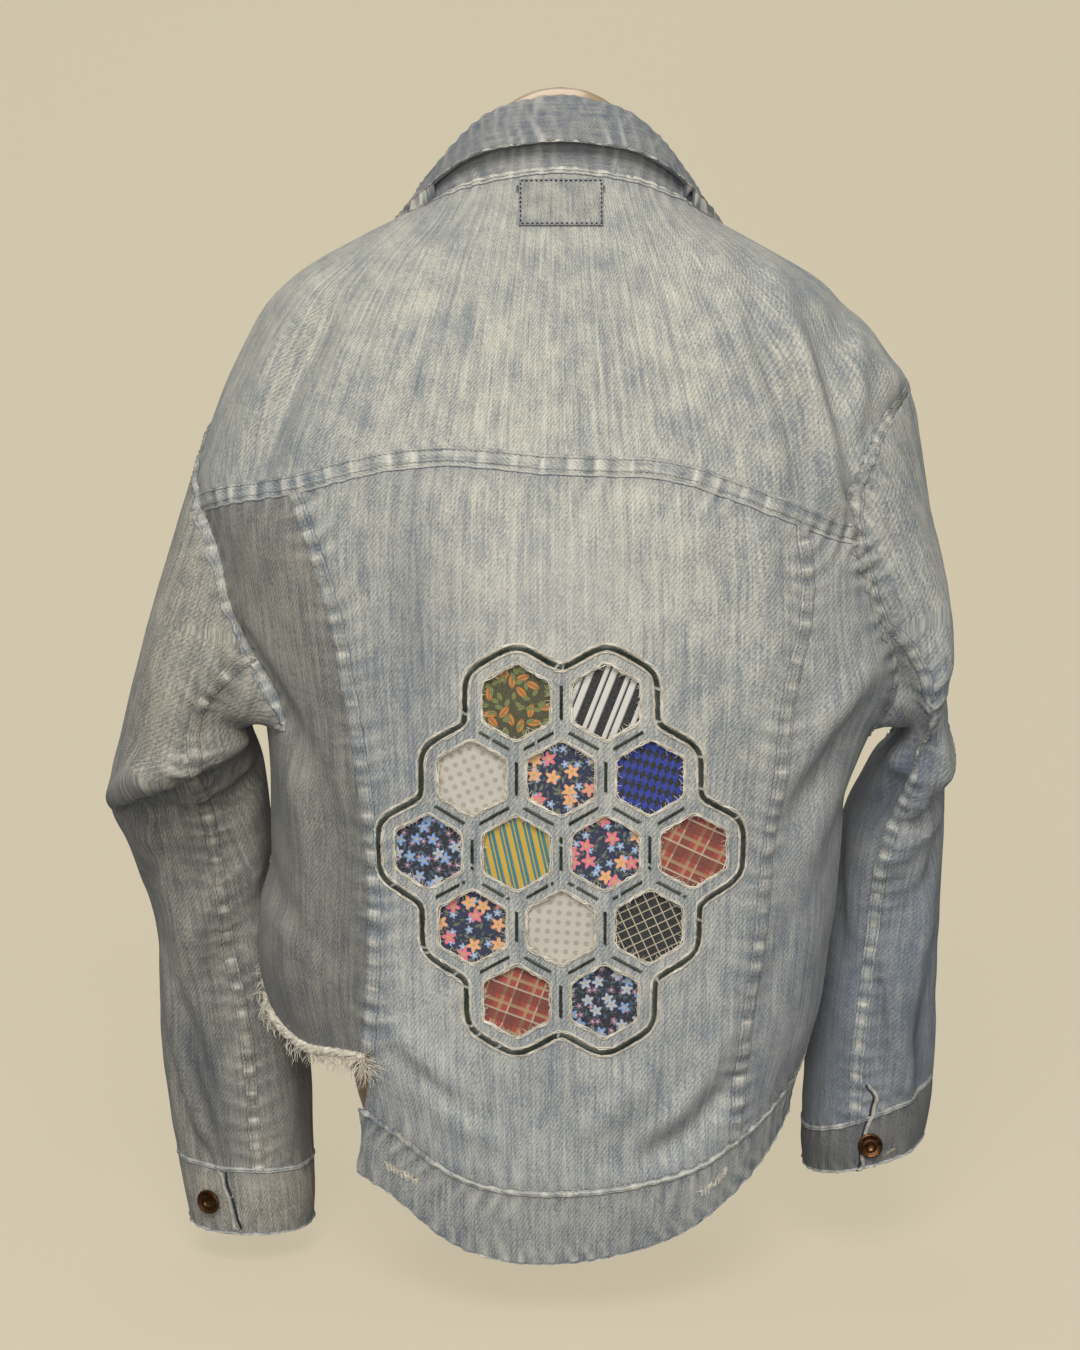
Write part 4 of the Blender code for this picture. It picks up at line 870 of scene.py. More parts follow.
SLEEVE_CREASES = {
    "left": (
        (-0.9, 30, -0.6, 55, -0.3, 85, 0.1, 120, 10, 4.2),
        (-1.1, 60, -0.8, 85, -0.5, 112, -0.1, 145, 10, -4.6),
        (0.2, 40, 0.4, 75, 0.5, 110, 0.5, 150, 11, 3.4),
        (-1.4, 175, -0.8, 186, -0.2, 188, 0.6, 180, 7.5, 5.6),
        (-1.6, 196, -0.9, 205, -0.2, 206, 0.6, 198, 8, -9),
        (-1.3, 226, -0.7, 232, 0, 232, 0.8, 222, 9, 3.8),
        (0.4, 235, 0.9, 262, 1.2, 290, 1.3, 325, 9.5, -5),
        (-0.9, 250, -0.4, 275, 0.1, 300, 0.5, 330, 10, 4),
        (-1.2, 280, -0.7, 305, -0.2, 330, 0.2, 360, 10, -4.4),
        (0.9, 330, 0.8, 370, 0.6, 410, 0.5, 455, 8, 6),
        (1.1, 340, 1, 380, 0.85, 420, 0.75, 465, 7, -5.6),
        (-0.7, 365, -0.4, 395, -0.2, 425, -0.1, 455, 9, 3.4),
        (2.2, 190, 2.8, 200, 3.3, 205, 3.9, 200, 9, -5),
        (2.3, 300, 2.8, 320, 3.2, 335, 3.7, 345, 10, 4),
    ),
    "right": (
        (0.9, 35, 0.6, 65, 0.3, 95, -0.1, 130, 10, 4.2),
        (1.1, 70, 0.8, 98, 0.4, 125, 0, 158, 10, -5),
        (-0.3, 45, -0.4, 85, -0.5, 125, -0.5, 165, 11, 3.6),
        (1.3, 165, 0.7, 172, 0.1, 176, -0.6, 182, 7.5, 6),
        (1.5, 186, 0.9, 193, 0.3, 200, -0.3, 212, 8, -9.8),
        (0.6, 215, 0.1, 236, -0.3, 262, -0.6, 295, 9, 5),
        (1, 232, 0.6, 255, 0.2, 282, -0.1, 315, 8, -5.2),
        (-1.2, 260, -0.9, 290, -0.7, 320, -0.6, 360, 10, -4),
        (0.5, 300, 0.3, 330, 0.2, 365, 0.2, 400, 8.5, 4.6),
        (0.9, 310, 0.8, 345, 0.7, 385, 0.7, 420, 7.5, -4.6),
        (-0.6, 350, -0.4, 375, -0.3, 405, -0.3, 430, 9, 3.6),
        (2.3, 180, 2.9, 190, 3.4, 195, 4, 188, 9, -5),
        (2.4, 290, 2.9, 305, 3.3, 320, 3.8, 330, 10, 4),
    ),
}


def sleeve_flat(side, co):
    """A sleeve's points on a flat drawing in metres: round the arm and down it."""
    middles, along = nearest_on_line(SLEEVE_LINES[side], co)
    away = co - middles
    outer = 1 if side == "left" else -1
    return np.arctan2(away[:, 0] * outer, away[:, 1]), along


def armhole_fade(side, co):
    """None at the armhole and full a little way off it, so that the seam stays shut."""
    away = [share_along(seams[name], co)[0] for name in
            ("armhole_" + side, "armhole_" + side + "_top")]
    return np.clip((np.minimum(*away) - 0.004) / 0.022, 0, 1) ** 1.5


def crease_sleeve(piece, side):
    co = places(piece)
    angle, along = sleeve_flat(side, co)
    lift = soft_noise(co, 0.022, 7.7) * 0.0007
    for turn in (-2 * math.pi, 0, 2 * math.pi):
        flat = np.stack([(angle + turn) * SLEEVE_ROUND, along], 1)
        lift += crease_heights(flat, SLEEVE_CREASES[side], SLEEVE_ROUND)
    lift_cloth(piece, co, lift * armhole_fade(side, co))


SLEEVE_FOLDS = {
    "left": (
        (((0.298, 0.008, 0.323), (0.264, 0.069, 0.350), (0.233, 0.064, 0.363),
          (0.211, 0.035, 0.367), (0.190, 0.020, 0.370)), 0.0095, 0.0118),
        (((0.296, 0.008, 0.306), (0.262, 0.060, 0.330), (0.231, 0.056, 0.343),
          (0.209, 0.030, 0.347)), 0.0085, -0.0138),
        (((0.271, -0.021, 0.189), (0.256, -0.003, 0.149), (0.240, 0.013, 0.103),
          (0.228, 0.015, 0.072)), 0.0065, 0.0075),
        (((0.256, 0.000, 0.180), (0.243, 0.006, 0.145), (0.229, 0.018, 0.103),
          (0.219, 0.018, 0.078)), 0.0065, -0.0075),
    ),
    "right": (
        (((-0.236, 0.048, 0.370), (-0.223, 0.040, 0.348), (-0.208, 0.015, 0.322),
          (-0.203, -0.008, 0.312)), 0.0090, -0.0090),
        (((-0.250, 0.040, 0.362), (-0.236, 0.030, 0.332), (-0.222, 0.020, 0.305)), 0.0085, 0.0085),
        (((-0.220, 0.015, 0.214), (-0.226, 0.016, 0.175), (-0.235, 0.011, 0.112)), 0.0065, 0.0062),
        (((-0.231, 0.010, 0.205), (-0.238, 0.008, 0.165), (-0.246, 0.000, 0.120)), 0.0065, -0.0062),
    ),
}


def fold_sleeve(piece, side):
    co = places(piece)
    lift = np.zeros(len(co))
    for points, breadth, height in SLEEVE_FOLDS[side]:
        lift += ridge(np.array(points, float), co, breadth, height)
    lift_cloth(piece, co, lift)


for name in BODY_FRONT:
    piece = sheets[name]
    co = places(piece)
    before = np.clip(-co[:, 1] / 0.04, 0, 1)
    lift_cloth(piece, co, crease_heights(co[:, [0, 2]], FRONT_CREASES) * before)
for side in ("left", "right"):
    for part in ("top_sleeve_", "under_sleeve_"):
        crease_sleeve(sheets[part + side], side)
        fold_sleeve(sheets[part + side], side)
print("sleeve creases:", {side: len(rows) for side, rows in SLEEVE_CREASES.items()})

# %% [markdown]
# A seam is sewn through four layers and shrinks in the wash, so the cloth beside it ripples in
# short slanting puckers. Their crests rub pale, and their hollows and a thin line along the seam
# get painted shade. Two point attributes carry that to the denim: wear, and one for dirt and
# painted shade.
# %% The puckers along the seams
PUCKERS = {
    "yoke": (0.015, 0.0135, 0.00085), "long_left": (0.015, 0.0130, 0.00090),
    "long_right": (0.015, 0.0130, 0.00090), "armhole_left": (0.014, 0.0125, 0.00090),
    "armhole_left_top": (0.012, 0.0125, 0.00060), "armhole_right": (0.014, 0.0125, 0.00090),
    "armhole_right_top": (0.012, 0.0125, 0.00060), "side_left": (0.013, 0.0125, 0.00080),
    "side_right": (0.013, 0.0125, 0.00080), "shoulder_left": (0.012, 0.0125, 0.00070),
    "shoulder_right": (0.012, 0.0125, 0.00070), "neck": (0.010, 0.0105, 0.00055),
    "band_top": (0.016, 0.0115, 0.00110), "band_low": (0.010, 0.0120, 0.00080),
    "sleeve_left": (0.017, 0.0115, 0.00120), "sleeve_left_front": (0.014, 0.0120, 0.00090),
    "sleeve_right": (0.017, 0.0115, 0.00120), "sleeve_right_front": (0.014, 0.0120, 0.00090),
    "stand_left": (0.012, 0.0125, 0.00060), "stand_right": (0.012, 0.0125, 0.00060),
    "collar_edge": (0.020, 0.0100, 0.00060), "collar_roll": (0.016, 0.0100, 0.00070),
    "cuff_left_top": (0.009, 0.0115, 0.00070), "cuff_left_low": (0.008, 0.0110, 0.00060),
    "cuff_right_top": (0.009, 0.0115, 0.00070), "cuff_right_low": (0.008, 0.0110, 0.00060),
}


seed_of = {name: number * 3.3 + 1.7 for number, name in enumerate(PUCKERS)}


def slow_wave(values, size, seed):
    """Slow, even waves along a line, from -1 to 1."""
    return np.array([noise.noise(Vector((v / size, seed, 0.3))) for v in values])


def pucker_wave(along, away, pitch, seed):
    """Uneven ripples across a seam, leaning as they leave it."""
    phase = along / pitch + 0.55 * slow_wave(along, pitch * 2.2, seed) + away / (pitch * 3.0)
    strength = 0.65 + 0.7 * slow_wave(along, pitch * 1.6, seed + 9)
    return np.sin(2 * math.pi * phase) * np.clip(strength, 0.15, 1.3)


def write_attribute(piece, name, values):
    if piece.data.attributes.get(name) is None:
        piece.data.attributes.new(name, "FLOAT", "POINT")
    piece.data.attributes[name].data.foreach_set("value", np.asarray(values, np.float32))


# How dark each sheet is painted, for its dirt and for painted shade, and how much more painted
# shade it gets lower down.
SHEET_DIRT_AND_SHADE = {
    "back_side_left": (0.36, 0.14), "back_side_right": (0.16, 0.14), "back_centre": (0.0, 0.0),
    "top_sleeve_left": (0.04, 0.26), "under_sleeve_left": (0.16, 0.24),
    "top_sleeve_right": (0.12, 0.46), "under_sleeve_right": (0.22, 0.48),
    "cuff_left": (0.0, 0.0), "cuff_right": (0.78, 0.0), "collar_leaf": (0.55, 0.0),
    # The collar stand's darkness is painted shadow under the collar's leaf.
    "collar_stand": (0.50, 0.0), "neck_patch": (0.10, 0.0),
}


# How dark the painted shadow in a sleeve's fold hollows is.
FOLD_SHADOW = 0.62


def fold_shadows(sheet_name, co):
    """The painted shadow in the hollows of a sleeve's deep folds."""
    total = np.zeros(len(co))
    for points, breadth, height in SLEEVE_FOLDS.get(sheet_name.split("_")[-1], ()):
        if height < 0 and "sleeve" in sheet_name:
            total += ridge(np.array(points, float), co, breadth * 1.8, FOLD_SHADOW, 0.6)
    return total


COLLAR_RUB = 1.9  # the bands and the collar are rubbed more than the panels
SEAM_NEAR, SEAM_TOUCH, SEAM_STEP = 0.06, 0.006, 0.006
# Pucker hollows get painted shade, and a thin dark line along each seam is a painted shadow.
CREST_WEAR, PUCKER_HOLLOW_SHADE = 0.55, 0.45
SEAM_SHADOW, SEAM_SHADOW_WIDE = 0.28, 0.0085


def spot(co, x, wide, z, high):
    """A soft round place on the centre back: 1 in its middle, and 0 well outside."""
    return np.exp(-((co[:, 0] - x) / wide) ** 2 - ((co[:, 2] - z) / high) ** 2)


def pucker(piece, sheet_name):
    """Ripples one sheet beside every seam that touches it, and paints its wear, its dirt and its
    painted shade.
    """
    co = places(piece)
    base, lower = SHEET_DIRT_AND_SHADE.get(sheet_name, (0.04, 0.04))
    lift, wear = np.zeros(len(co)), np.zeros(len(co))
    # Dirt and painted shade per sheet, more painted shade lower down, and painted shadow in the
    # sleeves' fold hollows.
    dirt_and_shade = base + lower * np.clip((0.42 - co[:, 2]) / 0.20, 0, 1) + fold_shadows(sheet_name, co)
    for name, (reach, pitch, height) in PUCKERS.items():
        path = evenly(seams[name], max(8, int(length_of(seams[name]) / SEAM_STEP)))
        near = np.abs(co[:, None] - path[None, ::6]).max(2).min(1) < SEAM_NEAR
        if not near.any():
            continue
        away, _, along = share_along(path, co[near])
        if away.min() > SEAM_TOUCH:
            continue
        wave = pucker_wave(along, away, pitch, seed_of[name])
        beside = np.exp(-(away / reach) ** 2)
        lift[near] += height * wave * beside
        wear[near] = np.maximum(wear[near], np.clip(wave, 0, 1) ** 1.5 * beside * CREST_WEAR)
        # Painted shade in the puckers' hollows, and a painted shadow line along the seam.
        dirt_and_shade[near] = np.maximum(dirt_and_shade[near], np.clip(-wave, 0, 1) * beside * PUCKER_HOLLOW_SHADE)
        dirt_and_shade[near] = np.maximum(dirt_and_shade[near],
                                np.exp(-(away / SEAM_SHADOW_WIDE) ** 4) * SEAM_SHADOW)
    # The centre back gets a paler place in its middle, and painted shade round x 92 mm.
    if sheet_name == "back_centre":
        wear += 0.26 * spot(co, 0.0, 0.055, 0.48, 0.045)
        dirt_and_shade += 0.45 * spot(co, 0.092, 0.022, 0.46, 0.09)
    if "collar" in sheet_name or sheet_name == "hem_band":
        wear *= COLLAR_RUB
    lift_cloth(piece, co, lift)
    write_attribute(piece, "wear", np.clip(wear, 0, 1))
    write_attribute(piece, "dirt_and_shade", np.clip(dirt_and_shade, 0, 1))


def tree_of(pieces):
    """The faces of these pieces as one tree, in which the nearest face is found fast."""
    points, faces = [], []
    for piece in pieces:
        start = len(points)
        points.extend(v.co.copy() for v in piece.data.vertices)
        faces.extend([start + i for i in face.vertices] for face in piece.data.polygons)
    return BVHTree.FromPolygons(points, faces)


FORM_GAP = 0.0026
form_tree = tree_of([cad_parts["dress_form"]])


def keep_off_form(piece):
    """Cloth rests on the form and never sinks into it."""
    co = places(piece)
    for number, point in enumerate(co):
        spot, normal, _, _ = form_tree.find_nearest(Vector(point), 0.03)
        if spot is None:
            continue
        height = (Vector(point) - spot).dot(normal)
        if height < FORM_GAP:
            co[number] = spot + normal * FORM_GAP
    put(piece, co)


END_LEAST, END_MORE = 0.004, 0.017
WING_PULL, WING_FROM, WING_RUN = 0.0065, 0.045, 0.045


def widen_hem_end():
    """The band's cut end stands upright on the left, so its lower corner moves out."""
    piece = sheets["hem_band"]
    co = places(piece)
    low, top = (share_along(seams[name], co)[0] for name in ("band_low", "band_top"))
    share = low / np.maximum(low + top, 1e-6)
    ramp_out = np.clip((co[:, 0] - 0.035) / 0.080, 0, 1) ** 1.5 * (co[:, 1] > 0)
    move = ramp_out * (END_LEAST + END_MORE * (1 - share))
    co[:, 0] += move
    co[:, 1] -= move * 0.45
    co[:, 2] -= move * 0.10
    put(piece, co)


def draw_in_collar():
    """The leaf's wings lie close to the neck."""
    piece = sheets["collar_leaf"]
    co = places(piece)
    pull = WING_PULL * np.clip((np.abs(co[:, 0]) - WING_FROM) / WING_RUN, 0, 1)
    pull = pull * np.clip((co[:, 1] + 0.11) / 0.05, 0, 1)
    co[:, 0] -= np.sign(co[:, 0]) * pull
    put(piece, co)


widen_hem_end()
draw_in_collar()
seams = read_seams()
for name, piece in sheets.items():
    pucker(piece, name)
    if "sleeve" not in name and "cuff" not in name:
        keep_off_form(piece)
seams = read_seams()


def iron(piece, middle, radius, strokes=60):
    """Smooths a sheet round one place where its folds run into each other."""
    co = places(piece)
    near = np.exp(-(np.linalg.norm(co - middle, axis=1) / radius) ** 4)[:, None]
    edges = np.array([edge.vertices[:] for edge in piece.data.edges])
    uses = np.bincount(edges.ravel(), minlength=len(co))[:, None]
    for _ in range(strokes):
        total = np.zeros_like(co)
        np.add.at(total, edges[:, 0], co[edges[:, 1]])
        np.add.at(total, edges[:, 1], co[edges[:, 0]])
        co += (total / uses - co) * near
    put(piece, co)


YOKE_CRUMPLE, YOKE_REACH = (0.124, 0.061, 0.672), 0.024
ARM_CRUMPLE, ARM_REACH, ARM_STROKES = (-0.234, 0.045, 0.369), 0.020, 25
iron(sheets["back_yoke"], YOKE_CRUMPLE, YOKE_REACH)
for name in ("top_sleeve_right", "under_sleeve_right"):
    iron(sheets[name], ARM_CRUMPLE, ARM_REACH, ARM_STROKES)
print("seams puckered:", len(PUCKERS))

# %% [markdown]
# The creases part a sleeve's rim a little from the armhole, so the rim is drawn back onto it.
# The sheets together then become one skin on which seam bands and stitches can be placed: any point
# near the jacket finds the cloth under it.
# %% The skin under the seams


def close_loop(rows):
    return np.vstack([rows, rows[:1]])


def shut(piece, mates, near=0.008, reach=0.014):
    """Draws a sheet's rim onto the rims of its mates where they nearly meet."""
    co = places(piece)
    rim = np.array(sum(rim_loops(piece), []))
    best, away = co[rim].copy(), np.full(len(rim), np.inf)
    for mate in mates:
        for loop in rim_loops(mate):
            line = close_loop(places(mate)[loop])
            close = np.abs(co[rim][:, None] - line[None, ::4]).max(2).min(1) < 0.03
            if not close.any():
                continue
            spots, _ = nearest_on_line(line, co[rim][close])
            far = np.linalg.norm(spots - co[rim][close], axis=1)
            better = far < away[close]
            numbers = np.where(close)[0][better]
            best[numbers], away[numbers] = spots[better], far[better]
    joined = away < near
    held, moves = co[rim][joined], (best - co[rim])[joined]
    if not len(held):
        return
    distance = np.linalg.norm(co[:, None] - held[None], axis=2)
    nearest = distance.argmin(1)
    weight = np.clip(1 - distance[np.arange(len(co)), nearest] / reach, 0, 1) ** 2
    put(piece, co + moves[nearest] * weight[:, None])


for side in ("left", "right"):
    body = [sheets["back_side_" + side], sheets["back_yoke"], sheets["front_" + side]]
    shut(sheets["top_sleeve_" + side], body)
    shut(sheets["under_sleeve_" + side], body + [sheets["top_sleeve_" + side]])
    shut(sheets["cuff_" + side], [sheets["top_sleeve_" + side], sheets["under_sleeve_" + side]])
for name in ("back_side_left", "back_side_right", "back_yoke"):
    shut(sheets[name], [sheets["back_centre"]], near=0.004)
seams = read_seams()
skin = tree_of(sheets.values())


def settle(co, tree=None, reach=0.02):
    """The nearest places on the cloth, and the cloth's normals there."""
    spots, normals = np.array(co, float), np.zeros_like(co)
    for number, point in enumerate(co):
        spot, normal, _, _ = (tree or skin).find_nearest(Vector(point), reach)
        if spot is None:
            normals[number] = (0, 0, 1)
            continue
        spots[number], normals[number] = spot, normal
    return spots, normals


def relax(path, times=4, closed=False):
    """Softens the corners of a path."""
    path = np.array(path, float)
    for _ in range(times):
        if closed:
            path = (np.roll(path, 1, 0) + 2 * path + np.roll(path, -1, 0)) / 4
        else:
            path[1:-1] = (path[:-2] + 2 * path[1:-1] + path[2:]) / 4
    return path


def seam_frame(path, step):
    """Even steps along a path on the cloth, each with its normal and the way across."""
    count = max(4, int(length_of(path) / step) + 1)
    spots = relax(evenly(path, count))
    spots, normals = settle(spots)
    normals = unit(relax(normals, 6))
    return spots, normals, unit(np.cross(normals, unit(np.gradient(spots, axis=0))))


print("skin ready")

# %% [markdown]
# A felled seam is a flat band about a centimetre wide, where one panel's edge is folded round the
# other's and sewn down. It is a strip of grid laid on the cloth along the seam, a little higher in
# its middle, with the same puckers. Its crests are rubbed to white spots.
# The hollows between its puckers get painted shade.
# %% The felled seam bands
BANDS = {
    "yoke": (0.0130, 0.0045, "back_yoke"), "long_left": (0.0105, -0.0020, "back_side_left"),
    "long_right": (0.0105, 0.0020, "back_side_right"),
    "armhole_left": (0.0105, -0.0030, "back_side_left"),
    "armhole_left_top": (0.0105, -0.0030, "back_yoke"),
    "armhole_right": (0.0105, -0.0030, "back_side_right"),
    "armhole_right_top": (0.0105, -0.0030, "back_yoke"),
    "side_left": (0.0095, 0, "back_side_left"), "side_right": (0.0095, 0, "back_side_right"),
    "shoulder_left": (0.0100, 0, "back_yoke"), "shoulder_right": (0.0100, 0, "back_yoke"),
    "neck": (0.0052, -0.0004, "back_yoke"), "collar_edge": (0.0064, -0.0031, "collar_leaf"),
    "band_top": (0.0042, 0.0002, "hem_band"), "band_low": (0.0046, -0.0020, "hem_band"),
    "cuff_left_top": (0.0040, 0.0, "cuff_left"), "cuff_left_low": (0.0036, 0.0, "cuff_left"),
    "cuff_right_top": (0.0040, 0.0, "cuff_right"), "cuff_right_low": (0.0036, 0.0, "cuff_right"),
    "sleeve_left": (0.0095, 0, "top_sleeve_left"),
    "sleeve_left_front": (0.0095, 0, "top_sleeve_left"),
    "sleeve_right": (0.0095, 0, "top_sleeve_right"),
    "sleeve_right_front": (0.0095, 0, "top_sleeve_right"),
}
BAND_COLUMNS, BAND_STEP = 8, 0.0024
BAND_HEIGHT, BAND_EDGE, BAND_WALL = 0.0009, 0.0002, 0.0007
BAND_CLOTH = {"yoke": "felled", "sleeve_left": "sleeve_felled",
              "sleeve_left_front": "sleeve_felled"}
for name in ("collar_edge", "neck", "band_top", "band_low", "cuff_left_top", "cuff_left_low",
             "cuff_right_top", "cuff_right_low"):
    BAND_CLOTH[name] = "rolled"
SPOT_PITCH, SPOT_LONG = 0.0185, 0.0019


def worn_spots(along, seed):
    """White spots at nearly even steps along a felled seam, some fainter than others."""
    total = np.zeros(len(along))
    for number in range(int(along[-1] / SPOT_PITCH) + 1):
        place = (number + 0.5 + 0.5 * noise.noise(Vector((number * 7.31, seed, 0.9)))) * SPOT_PITCH
        strength = 0.72 + 0.55 * noise.noise(Vector((number * 3.17, seed, 4.2)))
        total += np.clip(strength, 0.2, 1) * np.exp(-((along - place) / SPOT_LONG) ** 2)
    return np.clip(total, 0, 1)


def lay_band(name, width, shift):
    """A strip of cloth along a seam, settled on the skin."""
    spots, _, across = seam_frame(seams[name], BAND_STEP)
    rows = len(spots)
    along = np.linspace(0, length_of(spots), rows)
    lanes = np.linspace(-width / 2, width / 2, BAND_COLUMNS + 1) + shift
    wave = pucker_wave(along, np.zeros(rows), PUCKERS[name][1], seed_of[name])
    rubbed = worn_spots(along, seed_of[name])
    ragged = slow_wave(along, 0.006, seed_of[name] + 4) * 0.0007
    band = new_grid(name + "_band", BAND_COLUMNS, rows - 1)
    flat = spots[:, None] + across[:, None] * (lanes[None, :, None] + ragged[:, None, None])
    ground, ups = settle(flat.reshape(-1, 3))
    ups = unit(relax(ups.reshape(rows, -1, 3), 2)).reshape(-1, 3)
    lane = np.linspace(-1, 1, BAND_COLUMNS + 1)
    profile = BAND_EDGE + (BAND_HEIGHT - BAND_EDGE) * np.clip(1 - np.abs(lane) ** 6, 0, 1)
    heights = profile[None] + 0.0003 * wave[:, None] * (profile[None] > 0.0005)
    put(band, ground + ups * heights.reshape(-1, 1))
    crest = np.maximum(rubbed * 0.95, 0.30 * np.clip(wave, 0, 1) ** 2)[:, None]
    crest = crest * (1 - np.abs(lane) ** 3)
    # Painted shade in the hollows between the band's puckers, but not on the worn spots.
    hollow = np.clip(0.25 - wave, 0, 1)[:, None] * (1 - rubbed[:, None]) * np.ones_like(lane)
    write_attribute(band, "wear", crest.ravel())
    write_attribute(band, "dirt_and_shade", (hollow * 0.50).ravel())
    write_attribute(band, "across", (np.ones((rows, 1)) * lane).ravel())
    grain = np.stack(np.broadcast_arrays(lanes[None], along[:, None]), 2).reshape(-1, 2)
    lay_grain(band, lambda co: grain)
    upright(band, ups)
    return band


def thicken(piece, wall):
    """Gives a sheet its wall, which grows inwards from the cloth's face."""
    only(piece)
    shell = piece.modifiers.new("Wall", "SOLIDIFY")
    shell.thickness = wall
    shell.offset = -1
    bpy.ops.object.modifier_apply(modifier="Wall")
    bpy.ops.object.shade_smooth_by_angle(angle=math.radians(50))
    return piece


bands = {name: thicken(lay_band(name, width, shift), BAND_WALL)
         for name, (width, shift, _) in BANDS.items()}
for name, band in bands.items():
    band.data.materials.append(DENIMS[BAND_CLOTH.get(name, "twin")])
print("felled bands:", len(bands))

# %% [markdown]
# The topstitching is a pale tan thread, worn and half sunk in the cloth. One small stitch, a bar
# with pointed ends, is modelled, and a row of copies becomes one mesh. Rows lie on the bands and
# along the edges of the hem band, collar and fronts.
# %% The stitch rows
STITCH_LONG, STITCH_PITCH, STITCH_THICK = 0.0026, 0.0034, 0.00062
STITCH_POINT = 0.35


def make_stitch():
    bpy.ops.mesh.primitive_cylinder_add(vertices=4, radius=STITCH_THICK / 2,
                                        depth=STITCH_LONG * 0.55, rotation=(0, math.pi / 2, 0))
    stitch = bpy.context.object
    stitch.name = "one_stitch"
    bpy.ops.object.transform_apply(location=False, rotation=True, scale=False)
    bpy.ops.object.mode_set(mode="EDIT")
    bpy.ops.mesh.select_all(action="DESELECT")
    bpy.ops.object.mode_set(mode="OBJECT")
    select_faces(stitch, [abs(face.normal.x) > 0.9 for face in stitch.data.polygons])
    bpy.ops.object.mode_set(mode="EDIT")
    bpy.ops.mesh.extrude_faces_move(TRANSFORM_OT_shrink_fatten={"value": -STITCH_LONG * 0.22})
    bpy.ops.object.mode_set(mode="OBJECT")
    co = places(stitch)
    ends = np.abs(co[:, 0]) > STITCH_LONG * 0.4
    co[ends, 1:] *= STITCH_POINT
    put(stitch, co)
    faces = [tuple(face.vertices) for face in stitch.data.polygons]
    bpy.data.objects.remove(stitch)
    return co, faces


STITCH_POINTS, STITCH_FACES = make_stitch()


def copies(name, template, faces, spots, xs, ys, zs):
    """One mesh with a copy of a small shape at every place, turned to its own three axes."""
    turned = (template[None, :, 0, None] * xs[:, None] + template[None, :, 1, None] * ys[:, None]
              + template[None, :, 2, None] * zs[:, None])
    points = (spots[:, None] + turned).reshape(-1, 3)
    every = [tuple(i + start * len(template) for i in face)
             for start in range(len(spots)) for face in faces]
    mesh = bpy.data.meshes.new(name)
    mesh.from_pydata(points.tolist(), [], every)
    return add_piece(name, mesh)


def stitch_places(path, shifts, height, seed=0.0, pitch=STITCH_PITCH):
    """Places and axes for rows of stitches beside a path."""
    found = []
    spots, normals, across = seam_frame(path, pitch)
    for row, shift in enumerate(shifts):
        waver = slow_wave(np.arange(len(spots)) * pitch, 0.02, seed + row) * 0.0003
        ground, ups = settle(spots + across * (shift + waver)[:, None])
        ups = unit(0.5 * ups + 0.5 * normals)
        line = unit(np.gradient(ground, axis=0))
        side = unit(np.cross(ups, line))
        found.append((ground + ups * height, line, side, unit(np.cross(line, side))))
    return [np.concatenate(parts) for parts in zip(*found)]


def sew(name, rows, height=STITCH_THICK * 0.25, pitch=STITCH_PITCH):
    """Stitches along several paths as one piece."""
    found = [stitch_places(path, shifts, height + lift, seed * 1.9, pitch)
             for seed, (path, shifts, lift) in enumerate(rows)]
    spots, xs, ys, zs = (np.concatenate(parts) for parts in zip(*found))
    return copies(name, STITCH_POINTS, STITCH_FACES, spots, xs, ys, zs)


def band_rows(names, lanes=(-0.55, 0.55)):
    """Rows of stitches on felled bands, at these shares of half a band's width."""
    return [(seams[name], np.array(lanes) * BANDS[name][0] / 2 + BANDS[name][1], BAND_HEIGHT)
            for name in names]


STITCHED = {
    "yoke_stitches": band_rows(["yoke"], (-0.42, 0.70)),
    "long_seam_stitches": band_rows(["long_left", "long_right"], (-0.6, 0, 0.6)),
    "armhole_stitches": band_rows(["armhole_left", "armhole_left_top", "armhole_right",
                                   "armhole_right_top"]),
    "side_seam_stitches": band_rows(["side_left", "side_right", "shoulder_left",
                                     "shoulder_right"]),
    "sleeve_left_stitches": band_rows(["sleeve_left", "sleeve_left_front"]),
    "sleeve_right_stitches": band_rows(["sleeve_right", "sleeve_right_front"]),
    "hem_band_stitches": [(seams["band_top"], (-0.0022, 0.0030), 0.0),
                          (seams["band_low"], (-0.0030,), 0.0)],
    "collar_stitches": [(seams["collar_edge"], (-0.0022, -0.0078), 0.0)],
    "front_stitches": [(seams["stand_left"], (-0.0040,), 0.0),
                       (seams["stand_right"], (-0.0040,), 0.0)],
}
thread = {name: sew(name, rows) for name, rows in STITCHED.items()}
print("stitches:", {name: len(piece.data.vertices) // len(STITCH_POINTS)
                    for name, piece in thread.items()})

# %% [markdown]
# The neck patch is a bare rectangle sewn on the yoke below the collar. It is a fresh grid laid over
# the yoke's cloth, and it goes straight on over the groove at the neck seam. Its edges are folded
# under, so they stand a little higher. A dark thread is sewn round it.
# %% The neck patch
PATCH_LIFT, PATCH_FOLD = 0.0012, 0.0004
PATCH_COLUMNS, PATCH_ROWS = 44, 26
PATCH_UP = np.array([0.0, 0.95, 0.312])
PATCH_HALF, PATCH_HIGH = 0.0262, 0.0285
YOKE_KNOWN = np.linspace(0.684, 0.712, 15)
BEHIND, FORWARDS = 0.30, Vector((0, -1, 0))
neck_back = seams["neck"][np.abs(seams["neck"][:, 0]) < 0.04]
PATCH_TOP = min(float(neck_back[np.abs(neck_back[:, 0] - x).argmin(), 2])
                for x in (-PATCH_HALF, PATCH_HALF)) - 0.0040
yoke_tree = tree_of([sheets["back_yoke"]])


